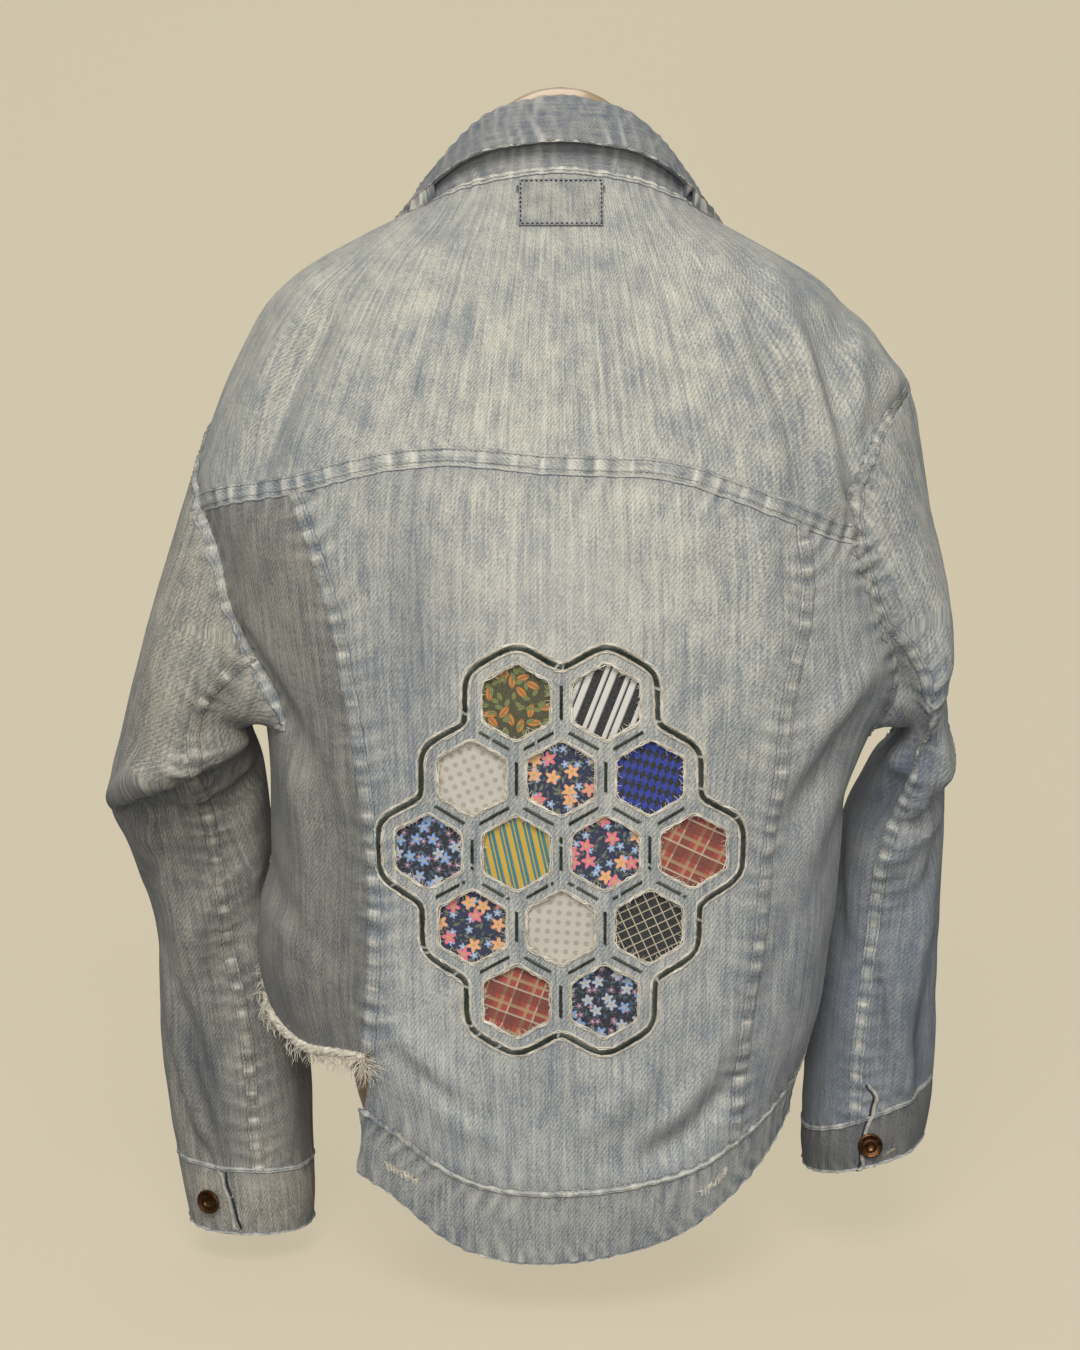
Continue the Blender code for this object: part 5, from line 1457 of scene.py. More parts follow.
def drop_on(co, tree):
    """Moves points along Y until they meet the cloth's back."""
    found, normals = np.array(co, float), np.zeros_like(co)
    for number, (x, _, z) in enumerate(co):
        spot, normal, _, _ = tree.ray_cast(Vector((x, BEHIND, z)), FORWARDS)
        if spot is None:
            spot, normal, _, _ = tree.find_nearest(Vector((x, 0.06, z)))
        found[number], normals[number] = spot, normal
    return found, normals


def yoke_behind(x, heights):
    """How far back the yoke lies at these heights, straight on over the groove at the neck."""
    back = [yoke_tree.ray_cast(Vector((x, BEHIND, z)), FORWARDS)[0].y for z in YOKE_KNOWN]
    onwards = np.polyfit(YOKE_KNOWN[-8:], back[-8:], 1)
    return np.where(heights < YOKE_KNOWN[-1], np.interp(heights, YOKE_KNOWN, back),
                    np.polyval(onwards, heights))


def lay_patch():
    patch = new_grid("neck_patch_cloth", PATCH_COLUMNS, PATCH_ROWS)
    flat = places(patch)[:, :2]
    x = flat[:, 0] * 2 * PATCH_HALF
    z = PATCH_TOP + (flat[:, 1] - 0.5) * PATCH_HIGH
    ground = np.stack([x, 0 * x, z], 1)
    for number in range(PATCH_COLUMNS + 1):
        column = ground[number::PATCH_COLUMNS + 1]
        column[:, 1] = yoke_behind(column[0, 0], column[:, 2])
    from_edge = ((0.5 - np.abs(flat)) * (2 * PATCH_HALF, PATCH_HIGH)).min(1)
    ripple = np.array([noise.noise(Vector(p) * 110) for p in ground]) * 0.0003
    lift = PATCH_LIFT + ripple + PATCH_FOLD * np.exp(-(from_edge / 0.0016) ** 2)
    put(patch, ground + lift[:, None] * PATCH_UP)
    lay_grain(patch, body_grain)
    upright(patch, PATCH_UP[None])
    # The patch is darker all over, and darker still along its folded edges.
    write_attribute(patch, "dirt_and_shade", 0.20 + 0.34 * np.exp(-(from_edge / 0.0012) ** 2))
    write_attribute(patch, "wear", np.clip(ripple * 1200, 0, 0.3))
    return patch


bpy.data.objects.remove(sheets["neck_patch"])
sheets["neck_patch"] = lay_patch()
patch_tree = tree_of([sheets["neck_patch"]])
patch_grid = places(sheets["neck_patch"]).reshape(PATCH_ROWS + 1, PATCH_COLUMNS + 1, 3)
print("neck patch:", len(sheets["neck_patch"].data.polygons), "faces")

# %% [markdown]
# The windows are cut from the centre back after it has its thickness. Each cutter is a six-sided
# prism, and one exact Boolean takes all fourteen out at once.
# %% The windows
WINDOW_ROWS = (2, 3, 4, 3, 2)
WINDOW_PITCH, WINDOW_RISE, WINDOW_RADIUS = 0.055, 0.0476, 0.0245
ROSETTE_MIDDLE = (0.0, 0.313)
centre_tree = tree_of([sheets["back_centre"]])


def window_middles():
    return [(ROSETTE_MIDDLE[0] + (column - (count - 1) / 2) * WINDOW_PITCH,
             ROSETTE_MIDDLE[1] + (2 - row) * WINDOW_RISE)
            for row, count in enumerate(WINDOW_ROWS) for column in range(count)]


def hexagon(middle, radius, steps):
    """Points round an upright hexagon, in x and z, with even steps on each side."""
    corners = [(middle[0] + radius * math.cos(math.radians(30 + 60 * k)), 0,
                middle[1] + radius * math.sin(math.radians(30 + 60 * k))) for k in range(7)]
    sides = [np.linspace(a, b, steps, endpoint=False) for a, b in zip(corners, corners[1:])]
    return np.concatenate(sides)


def cut_windows(cloth):
    cutters = []
    for x, z in window_middles():
        bpy.ops.mesh.primitive_cylinder_add(vertices=6, radius=WINDOW_RADIUS, depth=0.12,
                                            location=(x, 0.12, z), rotation=(math.pi / 2, 0, 0))
        cutters.append(bpy.context.object)
    bpy.ops.object.select_all(action="DESELECT")
    for cutter in cutters:
        cutter.select_set(True)
    bpy.context.view_layer.objects.active = cutters[0]
    bpy.ops.object.join()
    joined = bpy.context.object
    bpy.ops.object.transform_apply(location=True, rotation=True, scale=True)
    only(cloth)
    cut = cloth.modifiers.new("Windows", "BOOLEAN")
    cut.operation = "DIFFERENCE"
    cut.solver = "EXACT"
    cut.object = joined
    bpy.ops.object.modifier_apply(modifier="Windows")
    bpy.data.objects.remove(joined)


for name, piece in sheets.items():
    thicken(piece, LAYERS[name][2])
    piece.data.materials.append(DENIMS[LAYERS[name][1]])
cut_windows(sheets["back_centre"])
print("centre back with windows:", len(sheets["back_centre"].data.polygons), "faces")

# %% [markdown]
# Behind every window lies a scrap of printed cotton in an old, common pattern: small flowers,
# leaves, dots, ticking stripes, a lattice, diamonds or plaid. All are drawn by the shader in
# metres on the patch's own map.
# %% The printed cottons


COTTON_PITCH, COTTON_FADED = 0.0009, (0.55, 0.53, 0.48)


def cotton(name, draw, tones, **sizes):
    """A printed plain-weave cotton. draw gives the print's colour from the patch's map."""
    made, tree, shader = new_material(name, 0.85)
    grain = node(tree, "ShaderNodeUVMap", uv_map="Grain").outputs[0]
    colour = draw(tree, grain, *tones, **sizes)
    fade = noise_on(tree, grain, (700, 700, 1), 2.0, 0.6)
    faded = sums(tree, "MULTIPLY_ADD", fade, 0.22, -0.06)
    colour = mixed(tree, faded, colour, COTTON_FADED)
    tree.links.new(colour, shader.inputs["Base Color"])
    across, along = (node(tree, "ShaderNodeTexWave", {
        "Vector": grain, "Scale": WAVE_SCALE / COTTON_PITCH}, bands_direction=way).outputs["Fac"]
        for way in "XY")
    weave = sums(tree, "ADD", sums(tree, "ADD", across, along), fade)
    roughen(tree, shader, weave, 0.4, 0.0003)
    shader.inputs["Sheen Weight"].default_value = 0.1
    return made


def cells(tree, grain, pitch, jitter):
    """Scattered centres: each point's distance from its own, the way to it and a random colour."""
    found = node(tree, "ShaderNodeTexVoronoi", {
        "Vector": grain, "Scale": 1 / pitch, "Randomness": jitter}, voronoi_dimensions="2D")
    away = node(tree, "ShaderNodeVectorMath", {
        0: grain, 1: found.outputs["Position"]}, operation="SUBTRACT")
    scaled = node(tree, "ShaderNodeVectorMath", {0: away.outputs[0]}, operation="SCALE")
    scaled.inputs["Scale"].default_value = 1 / pitch
    return found.outputs["Distance"], scaled.outputs[0], found.outputs["Color"]


def below(tree, value, limit, soft=0.03):
    made = node(tree, "ShaderNodeMapRange", {
        "Value": value, "From Min": limit - soft, "From Max": limit + soft,
        "To Min": 1.0, "To Max": 0.0})
    return made.outputs[0]


def stripes(tree, grain, direction, pitch, share, offset=0.0):
    """1 inside stripes of this share of the pitch."""
    part = node(tree, "ShaderNodeSeparateXYZ", {0: grain}).outputs[direction]
    turn = sums(tree, "FRACT", sums(tree, "MULTIPLY_ADD", part, 1 / pitch, 50.0 + offset), 0.0)
    return below(tree, turn, share, 0.04)


def blossoms(tree, grain, pitch, size, petals=5.0, depth=0.34):
    """Scattered flowers with this many petals: the flowers, their hearts and a random number."""
    far, away, chances = cells(tree, grain, pitch, 0.85)
    parts = node(tree, "ShaderNodeSeparateXYZ", {0: away})
    random = node(tree, "ShaderNodeSeparateColor", {0: chances})
    turn = sums(tree, "ARCTAN2", parts.outputs[1], parts.outputs[0])
    turn = sums(tree, "ADD", turn, sums(tree, "MULTIPLY", random.outputs[1], 6.28))
    wave = sums(tree, "COSINE", sums(tree, "MULTIPLY", turn, petals), 0.0)
    edge = sums(tree, "MULTIPLY_ADD", wave, size * depth, size)
    flower = below(tree, sums(tree, "SUBTRACT", far, edge), 0.0)
    return flower, below(tree, far, size * 0.30), random.outputs[0]


def leaf_shapes(tree, grain, pitch, long, slim):
    """Scattered leaves, each turned its own way, and a random number."""
    _, away, chances = cells(tree, grain, pitch, 1.0)
    parts = node(tree, "ShaderNodeSeparateXYZ", {0: away})
    random = node(tree, "ShaderNodeSeparateColor", {0: chances})
    turn = sums(tree, "MULTIPLY", random.outputs[2], 6.28)
    cosine, sine = sums(tree, "COSINE", turn, 0.0), sums(tree, "SINE", turn, 0.0)
    x, y = parts.outputs[0], parts.outputs[1]
    along = sums(tree, "ADD", sums(tree, "MULTIPLY", x, cosine), sums(tree, "MULTIPLY", y, sine))
    across = sums(tree, "SUBTRACT", sums(tree, "MULTIPLY", y, cosine),
                  sums(tree, "MULTIPLY", x, sine))
    reach = sums(tree, "ADD", sums(tree, "ABSOLUTE", sums(tree, "MULTIPLY", across, 1 / slim), 0.0),
                 sums(tree, "POWER", sums(tree, "MULTIPLY", along, 1 / long), 2.0))
    vein = band_mask(tree, across, 0.0, slim * 0.22)
    return below(tree, reach, 1.0, 0.12), vein, random.outputs[0]


def draw_flowers(tree, grain, ground, first, second, small, leaf, pitch=0.0128):
    colour = ground
    for size, tone in ((0.52, 1.0), (0.36, 0.72)):
        leaves, vein, _ = leaf_shapes(tree, grain, pitch * size, 0.36, 0.13)
        colour = mixed(tree, leaves, colour, tuple(c * tone for c in leaf))
        ribs = sums(tree, "MULTIPLY", leaves, sums(tree, "MULTIPLY", vein, 0.5))
        colour = mixed(tree, ribs, colour, ground)
    shifted = node(tree, "ShaderNodeMapping", {
        "Vector": grain, "Location": (0.0043, 0.0031, 0)}).outputs[0]
    little, little_heart, _ = blossoms(tree, shifted, pitch * 0.78, 0.20)
    colour = mixed(tree, little, colour, small)
    colour = mixed(tree, little_heart, colour, (0.70, 0.68, 0.60))
    flower, heart, pick = blossoms(tree, grain, pitch, 0.28)
    petal = mixed(tree, below(tree, pick, 0.5, 0.05), first, second)
    colour = mixed(tree, flower, colour, petal)
    return mixed(tree, heart, colour, (0.60, 0.40, 0.10))


def draw_dots(tree, grain, ground, dot, pitch=0.0062, size=0.27):
    far, _, _ = cells(tree, grain, pitch, 0.0)
    return mixed(tree, below(tree, far, size), ground, dot)


def draw_ticking(tree, grain, ground, stripe, pitch=0.0075):
    colour = mixed(tree, stripes(tree, grain, 0, pitch, 0.42), ground, stripe)
    return mixed(tree, stripes(tree, grain, 0, pitch, 0.10, 0.30), colour, stripe)


def draw_plaid(tree, grain, ground, broad, narrow, line, pitch=0.0170):
    colour = ground
    for way in (0, 1):
        for share, offset, strength, tone in ((0.42, 0.0, 0.62, broad), (0.12, 0.32, 0.75, narrow)):
            stripe = stripes(tree, grain, way, pitch, share, offset)
            colour = mixed(tree, sums(tree, "MULTIPLY", stripe, strength), colour, tone)
        colour = mixed(tree, stripes(tree, grain, way, pitch, 0.045, 0.62), colour, line)
    return colour


def draw_leaves(tree, grain, ground, leaf, other, pitch=0.0105):
    colour = ground
    for size, tone in ((1.0, leaf), (0.62, other)):
        leaves, vein, _ = leaf_shapes(tree, grain, pitch * size, 0.46, 0.20)
        colour = mixed(tree, leaves, colour, tone)
        colour = mixed(tree, sums(tree, "MULTIPLY", leaves, vein), colour, ground)
    return colour


def draw_diamonds(tree, grain, ground, other, pitch=0.0064):
    """Two tones in tall diamonds, like a chessboard set on its corner."""
    tall = node(tree, "ShaderNodeMapping", {"Vector": grain, "Scale": (1.0, 0.62, 1.0)})
    turned = node(tree, "ShaderNodeMapping", {
        "Vector": tall.outputs[0], "Rotation": (0, 0, math.pi / 4)}).outputs[0]
    first, second = (stripes(tree, turned, way, pitch, 0.5) for way in (0, 1))
    apart = sums(tree, "ABSOLUTE", sums(tree, "SUBTRACT", first, second), 0.0)
    return mixed(tree, apart, ground, other)


def draw_lattice(tree, grain, ground, line, pitch=0.0062):
    lines = sums(tree, "MAXIMUM", stripes(tree, grain, 0, pitch, 0.10),
                 stripes(tree, grain, 1, pitch * 0.9, 0.11))
    return mixed(tree, lines, ground, line)


COTTONS = (
    cotton("navy_flowers", draw_flowers, ((0.013, 0.018, 0.060), (0.80, 0.20, 0.24),
                                          (0.85, 0.42, 0.20), (0.30, 0.42, 0.62),
                                          (0.16, 0.18, 0.10))),
    cotton("black_lattice", draw_lattice, ((0.008, 0.008, 0.010), (0.55, 0.46, 0.30))),
    cotton("red_plaid", draw_plaid, ((0.38, 0.050, 0.030), (0.15, 0.035, 0.020),
                                     (0.42, 0.30, 0.14), (0.60, 0.52, 0.36))),
    cotton("autumn_leaves", draw_leaves, ((0.060, 0.055, 0.018), (0.55, 0.20, 0.030),
                                          (0.20, 0.22, 0.06))),
    cotton("cobalt_diamonds", draw_diamonds, ((0.006, 0.007, 0.012), (0.012, 0.035, 0.30))),
    cotton("cream_dots", draw_dots, ((0.58, 0.53, 0.44), (0.42, 0.36, 0.28))),
    cotton("teal_ticking", draw_ticking, ((0.030, 0.19, 0.21), (0.62, 0.38, 0.035))),
    cotton("ink_ticking", draw_ticking, ((0.66, 0.63, 0.56), (0.008, 0.008, 0.010)), pitch=0.0135),
    cotton("ink_flowers", draw_flowers, ((0.007, 0.009, 0.022), (0.22, 0.36, 0.62),
                                         (0.45, 0.50, 0.60), (0.30, 0.14, 0.20),
                                         (0.07, 0.12, 0.16)), pitch=0.0105),
)
PATCH_PRINTS = (7, 3, 4, 0, 5, 2, 0, 6, 8, 1, 5, 0, 8, 2)
print("cottons:", [made.name for made in COTTONS])

# %% [markdown]
# Each scrap is its wall in the frame, refined and a little slack between its stitches. It is cut
# from its own place of the printed cloth, so that no two windows show the same motif.
# %% The patches
SLACK, COTTON_WALL = 0.0005, 0.0006


def patch_grain(number):
    """Each scrap is cut from another place of its cloth, a little askew."""
    turn = 0.5 * math.sin(number * 2.3)
    cut = np.array([[math.cos(turn), -math.sin(turn)], [math.sin(turn), math.cos(turn)]])

    def grain(co):
        return (co - co.mean(0))[:, [0, 2]] @ cut + np.array([number * 0.0731, number * 0.0437])
    return grain


patches = {}
for number, choice in enumerate(PATCH_PRINTS, start=1):
    name = f"window_patch_{number:02d}"
    patch = refine(cloth_face(name, name + "_cotton", from_body_axis), 2)
    co = places(patch)
    lift_cloth(patch, co, soft_noise(co, 0.012, number * 5.3) * SLACK)
    lay_grain(patch, patch_grain(number))
    thicken(patch, COTTON_WALL)
    patch.data.materials.append(COTTONS[choice])
    patches[name] = patch
print("patches:", len(patches))

# %% [markdown]
# Loose threads, cords and satin stitches are curves. One curve object holds a spline for each
# thread, its bevel gives them their thickness, and it becomes a mesh at the end.
# %% Threads as curves


def spin_threads(name, paths, thickness, sides=0, tip=0.6, closed=False):
    """Many threads as one mesh, each thinner at its ends."""
    curve = bpy.data.curves.new(name, "CURVE")
    curve.dimensions = "3D"
    curve.bevel_depth = thickness / 2
    curve.bevel_resolution = sides
    curve.use_fill_caps = not closed
    for path in paths:
        line = curve.splines.new("POLY")
        line.points.add(len(path) - 1)
        line.points.foreach_set("co", np.hstack([path, np.ones((len(path), 1))]).ravel())
        line.use_cyclic_u = closed
        if not closed:
            line.points[0].radius = line.points[-1].radius = tip
    only(add_piece(name, curve))
    bpy.ops.object.convert(target="MESH")
    bpy.ops.object.shade_smooth_by_angle(angle=math.radians(80))
    return bpy.context.object


def wandering(path, amount, size, seed):
    """The same path with small sideways wanders, as a limp thread lies."""
    return path + amount * np.array([noise.noise_vector(Vector(p) / size + Vector((seed, 0, seed)))
                                     for p in path])


def cross_frame(path):
    """Along, level and upwards directions of a path that runs mostly level."""
    runs = unit(np.gradient(path, axis=0))
    sides = unit(np.cross(runs, np.array([0.0, 0.0, 1.0])))
    return runs, sides, np.cross(sides, runs)


def chance(number, seed):
    """A repeatable number from 0 to 1."""
    return float(noise.cell(Vector((number + 0.5, seed * 7 + 0.5, 0.5)))) * 0.5 + 0.5


# %% [markdown]
# The cropped left side was torn, and the wash rolled its edge into a rope of pale cotton. Six thick
# strands are twisted round the torn edge's line, and several hundred fine threads wander over them
# and hang from them.
# %% The frayed roll
ROLL_DROP, ROLL_RADIUS, ROLL_STRANDS, ROLL_TWIST = 0.0036, 0.0019, 6, 0.024
ROLL_STEP, STRAND_THICK, THREADS_A_METRE = 0.0016, 0.0029, 3000
CORNER_AT = np.array([0.1255, 0.1025, 0.1725])
RAW_EDGES = {"raw_edge_back": "raw_back", "raw_edge_front": "raw_front"}


def roll_strands(path, seed):
    """Strands twisted round each other along a path, uneven in their turn and their reach."""
    _, sides, ups = cross_frame(path)
    along = np.concatenate([[0], np.cumsum(np.linalg.norm(np.diff(path, axis=0), axis=1))])
    found = []
    for strand in range(ROLL_STRANDS):
        turn = 2 * math.pi * (along / ROLL_TWIST + strand / ROLL_STRANDS)
        turn = turn + 1.6 * slow_wave(along, 0.012, seed + strand)
        reach = ROLL_RADIUS * (1 + 0.45 * slow_wave(along, 0.009, seed + strand + 20))
        found.append(path + sides * (np.cos(turn) * reach)[:, None]
                     + ups * (np.sin(turn) * reach)[:, None])
    return found


def fray(path, count, seed, longest, radius):
    """Short fine threads that leave a roll and fall back on it or hang."""
    runs, sides, ups = cross_frame(path)
    found = []
    for number in range(count):
        place = int(chance(number, seed) * (len(path) - 2))
        turn = 2 * math.pi * chance(number, seed + 1)
        out = sides[place] * math.cos(turn) + ups[place] * math.sin(turn)
        long = longest * (0.35 + 0.65 * chance(number, seed + 2))
        lean = runs[place] * (2 * chance(number, seed + 3) - 1) * 1.5
        way = unit(out * 0.55 + lean + np.array([0, 0, -0.45]))
        start = path[place] + out * radius * 0.7
        steps = np.linspace(0, 1, 5)[:, None]
        bend = out * 0.0016 * np.sin(np.pi * steps) + np.array([0, 0, -0.25]) * long * steps**2
        found.append(wandering(start + way * long * steps * 0.8 + bend, 0.0013, 0.004,
                               number * 0.71))
    return found


frays = {}
for seed, (name, torn) in enumerate(RAW_EDGES.items()):
    line = relax(evenly(seams[torn], int(length_of(seams[torn]) / ROLL_STEP)), 6)
    line = (line + np.array([0, 0, -ROLL_DROP]))[2:-2]
    frays[name] = spin_threads(name + "_roll", roll_strands(line, seed * 9.0), STRAND_THICK,
                               sides=2)
    count = int(length_of(line) * THREADS_A_METRE)
    frays[name + "_threads"] = spin_threads(
        name + "_threads", fray(line, count, seed + 3, 0.013, 0.0035), 0.00036)
tuft = CORNER_AT + np.stack(
    [np.linspace(-0.003, 0.003, 12), np.zeros(12), np.linspace(0.002, -0.002, 12)], 1)
frays["corner_tuft"] = spin_threads("corner_tuft", fray(tuft, 170, 11, 0.017, 0.0036), 0.00042)
print("frayed roll:", {name: len(piece.data.polygons) for name, piece in frays.items()})

# %% [markdown]
# The windows' edges are raw too: pale weft threads lie along each cut, and short ends of the warp
# stand into the opening.
# %% The windows' frayed edges


WINDOW_CORDS = ((0.0240, 0.0002), (0.0247, 0.0005), (0.0254, 0.0003))


def window_cords(middle, seed):
    """Weft threads round one window, each at its own radius and height."""
    found = []
    for cord, (radius, lift) in enumerate(WINDOW_CORDS):
        ring, normals = drop_on(hexagon(middle, radius, 12), centre_tree)
        ring = relax(ring, 2, closed=True) + normals * lift
        found.append(wandering(ring, 0.0010, 0.0035, seed + cord * 3.1))
    return found


def window_ends(middle, seed):
    """Short ends of thread that stand into one window from its edge."""
    ring, normals = drop_on(hexagon(middle, 0.0246, 16), centre_tree)
    inwards = unit(np.array([middle[0], 0, middle[1]]) - ring * np.array([1, 0, 1]))
    runs = unit(np.roll(ring, -1, 0) - np.roll(ring, 1, 0))
    found = []
    for number in range(len(ring)):
        if chance(number, seed) < 0.30:
            continue
        long = 0.0012 + 0.0034 * chance(number, seed + 1) ** 2
        way = inwards[number] + runs[number] * (2 * chance(number, seed + 2) - 1) * 0.8
        way = way - normals[number] * 0.25
        steps = np.linspace(-0.25, 1, 4)[:, None]
        found.append(wandering(ring[number] + normals[number] * 0.0004 + way * long * steps,
                               0.0006, 0.002, number * 0.37 + seed))
    return found


middles = window_middles()
cords = [cord for k, middle in enumerate(middles) for cord in window_cords(middle, k)]
ends = [end for k, middle in enumerate(middles) for end in window_ends(middle, k + 2.0)]
frays["window_cords"] = spin_threads("window_cords", cords, 0.0008, closed=True)
frays["window_ends"] = spin_threads("window_ends", ends, 0.00034)
print("window threads:", len(frays["window_ends"].data.polygons))

# %% [markdown]
# The rosette is drawn together by satin stitch: dense slanted threads, dark olive, along its
# outline and in the channels between the windows. Pale raw edges run beside the outline.
# %% The satin stitch
SATIN_STEP, SATIN_HEIGHT = 0.00062, 0.0008
OUTLINE_WIDTH, CHANNEL_WIDTH, CHANNEL_LONG = 0.0034, 0.0022, 0.0205
OUTLINE_OFF = 0.0040
OUTLINE_CORDS = ((0.0012, 0.0005), (0.0019, 0.0003), (0.0063, 0.0005), (0.0070, 0.0003))
BACKWARDS = np.array([0.0, 1.0, 0.0])


def satin(path, width, seed):
    """Slanted threads side by side along a path on the centre back."""
    path = evenly(path, max(3, int(length_of(path) / SATIN_STEP)))
    runs = unit(np.gradient(path, axis=0))
    found = []
    for number in range(len(path)):
        if chance(number // 3, seed + 5) < 0.05:
            continue
        across = unit(np.cross(BACKWARDS, runs[number]) + runs[number] * 0.45)
        half = width / 2 * (0.82 + 0.36 * chance(number, seed))
        found.append(np.stack([path[number] + across * half * share
                               for share in (-1, -0.4, 0.4, 1)]))
    ground, normals = drop_on(np.concatenate(found), centre_tree)
    lift = np.tile(np.array([0.05, 1.0, 1.0, 0.05]), len(found)) * SATIN_HEIGHT
    return list((ground + normals * lift[:, None]).reshape(-1, 4, 3))


def rosette_outline():
    """The outer edge of the rosette's cells, as one closed path in x and z."""
    sides = {}
    for x, z in middles:
        corners = hexagon((x, z), WINDOW_PITCH / math.sqrt(3), 1)
        for a, b in zip(corners, np.roll(corners, -1, 0)):
            key = tuple(np.round((a + b)[[0, 2]] * 400).astype(int))
            sides.setdefault(key, []).append((a, b))
    left = [pairs[0] for pairs in sides.values() if len(pairs) == 1]
    path = list(left.pop(0))
    while left:
        gaps = [min(np.linalg.norm(path[-1] - a), np.linalg.norm(path[-1] - b)) for a, b in left]
        a, b = left.pop(int(np.argmin(gaps)))
        path.append(b if np.linalg.norm(path[-1] - a) < np.linalg.norm(path[-1] - b) else a)
    return np.array(path)


def outset(path, distance):
    """A closed path in x and z, moved outwards and softened at its corners."""
    path = relax(evenly(path, 420)[:-1], 10, closed=True)
    runs = unit(np.roll(path, -1, 0) - np.roll(path, 1, 0))
    away = np.cross(runs, BACKWARDS)
    centre = np.array([ROSETTE_MIDDLE[0], 0, ROSETTE_MIDDLE[1]])
    if ((path - centre) * away).sum() < 0:
        away = -away
    return close_loop(relax(path + away * distance, 4, closed=True))


outline = outset(rosette_outline(), OUTLINE_OFF)
satin_rows = satin(outline, OUTLINE_WIDTH, 1.0)
for number, (x, z) in enumerate(middles):
    for other_x, other_z in middles[number + 1:]:
        gap = np.array([other_x - x, 0, other_z - z])
        if np.linalg.norm(gap) > WINDOW_PITCH * 1.1:
            continue
        half = np.cross(unit(gap), BACKWARDS) * CHANNEL_LONG / 2
        middle = np.array([x + other_x, 0, z + other_z]) / 2
        satin_rows += satin(np.array([middle - half, middle + half]), CHANNEL_WIDTH, number + 3.0)
satin_piece = spin_threads("satin_stitches", satin_rows, 0.00058, tip=0.7)
edges = []
for distance, lift in OUTLINE_CORDS:
    ring, normals = drop_on(outset(rosette_outline(), distance)[:-1], centre_tree)
    edges.append(wandering(ring + normals * lift, 0.0008, 0.0032, distance * 900))
frays["outline_cords"] = spin_threads("outline_cords", edges, 0.00085, closed=True)
print("satin stitches:", len(satin_rows))

# %% [markdown]
# A few marks are made by hand with single threads: the patch's dark outline and the tan remnants at
# its sides, the buttonholes and the crossed mending threads on the hem band. The cuffs' overlaps
# get pale rolled edges, and a dark curve beside each is a painted shadow.
# %% Threads sewn by hand
ring = np.concatenate([patch_grid[1, 1:-1], patch_grid[2:-1, -2], patch_grid[-2, -3:0:-1],
                       patch_grid[-3:0:-1, 1]])
patch_line = evenly(ring, int(length_of(ring) / 0.0015))


def on_skin(points, step=0.0016, lift=0.0):
    """A soft path through these points, a little above the cloth."""
    path = np.array(points, float)
    path = relax(evenly(path, max(4, int(length_of(path) / step))), 3)
    ground, normals = settle(path)
    return ground + unit(relax(normals, 4)) * lift


def remnants(column):
    """Broken stitches down one side of the neck patch."""
    found = []
    for row in range(2, PATCH_ROWS - 3, 3):
        if chance(row, column) > 0.3:
            points = patch_grid[row:row + 3, column].copy()
            points[:, 1] += (0.0, 0.0005, 0.0)
            found.append(points)
    return found


MENDING_STITCHES = 54


def darned(middle, wide, slope, seed):
    """A row of short mending stitches, most of them upright, over a worn spot."""
    found = []
    for number in range(MENDING_STITCHES):
        across = wide * ((number % 9) / 8 - 0.5) + 0.0012 * (chance(number, seed) - 0.5)
        place = np.array(middle) + np.array(
            [across, 0, slope * across + 0.0030 * (chance(number, seed + 3) - 0.5)])
        lean = 0.7 * (chance(number, seed + 6) - 0.5) + (math.pi / 2 if number % 5 else 0.0)
        half = 0.0012 + 0.0024 * chance(number, seed + 8)
        reach = np.array([math.cos(lean), 0, math.sin(lean)]) * half
        found.append(on_skin([place - reach, place + reach], lift=0.0003))
    return found


def bars(points, length, step=0.0008):
    """A buttonhole's close bars across its slit."""
    spots, normals, across = seam_frame(np.array(points, float), step)
    return [np.stack([at - side * length / 2, at + normal * 0.0007, at + side * length / 2])
            for at, normal, side in zip(spots, normals, across)]


OVERLAPS = {
    "left": ((0.2290, 0.012, 0.068), (0.2270, 0.013, 0.056), (0.2246, 0.014, 0.0505),
             (0.2215, 0.014, 0.038), (0.2191, 0.012, 0.0265)),
    "right": ((-0.2095, 0.013, 0.128), (-0.2156, 0.0143, 0.120), (-0.2118, 0.0145, 0.106),
              (-0.2078, 0.0157, 0.095), (-0.2065, 0.018, 0.086), (-0.2054, 0.020, 0.078),
              (-0.2052, 0.020, 0.068), (-0.2052, 0.018, 0.061)),
}
# How far to one side of each overlap's edge its painted shadow runs.
SHADOW_SIDE = {"left": -0.0022, "right": 0.0022}
ridges, overlap_shadows = [], []
for side, points in OVERLAPS.items():
    ridges.append(on_skin(points, lift=0.0007))
    ridges.append(on_skin(np.array(points) + np.array([0.0006, 0, 0]), lift=0.0003))
    # A dark curve beside each overlap's edge is a painted shadow.
    overlap_shadows.append(on_skin(np.array(points) + np.array([SHADOW_SIDE[side], 0, 0])))
ridge_piece = spin_threads("overlap_edges", ridges, 0.0022, sides=1, tip=0.5)
overlap_shadow_piece = spin_threads("overlap_shadow_lines", overlap_shadows, 0.0019, sides=1, tip=0.3)
BUTTONHOLES = (((-0.2195, 0.012, 0.079), (-0.2265, 0.008, 0.0835)),
               ((0.2275, 0.014, 0.046), (0.2215, 0.015, 0.050)))
HAND_THICK, MENDING_THICK = 0.0006, 0.0008
hand_threads = {
    "remnant_threads": spin_threads(
        "remnant_threads", remnants(4) + remnants(PATCH_COLUMNS - 4), HAND_THICK),
    "buttonhole_threads": spin_threads(
        "buttonhole_threads", [bar for ends in BUTTONHOLES for bar in bars(ends, 0.0022)],
        HAND_THICK),
}
frays["mending_threads"] = spin_threads(
    "mending_threads", darned((0.1042, 0.098, 0.0945), 0.024, 0.25, 2.0)
    + darned((-0.1025, 0.100, 0.0887), 0.022, -0.45, 5.0), MENDING_THICK)
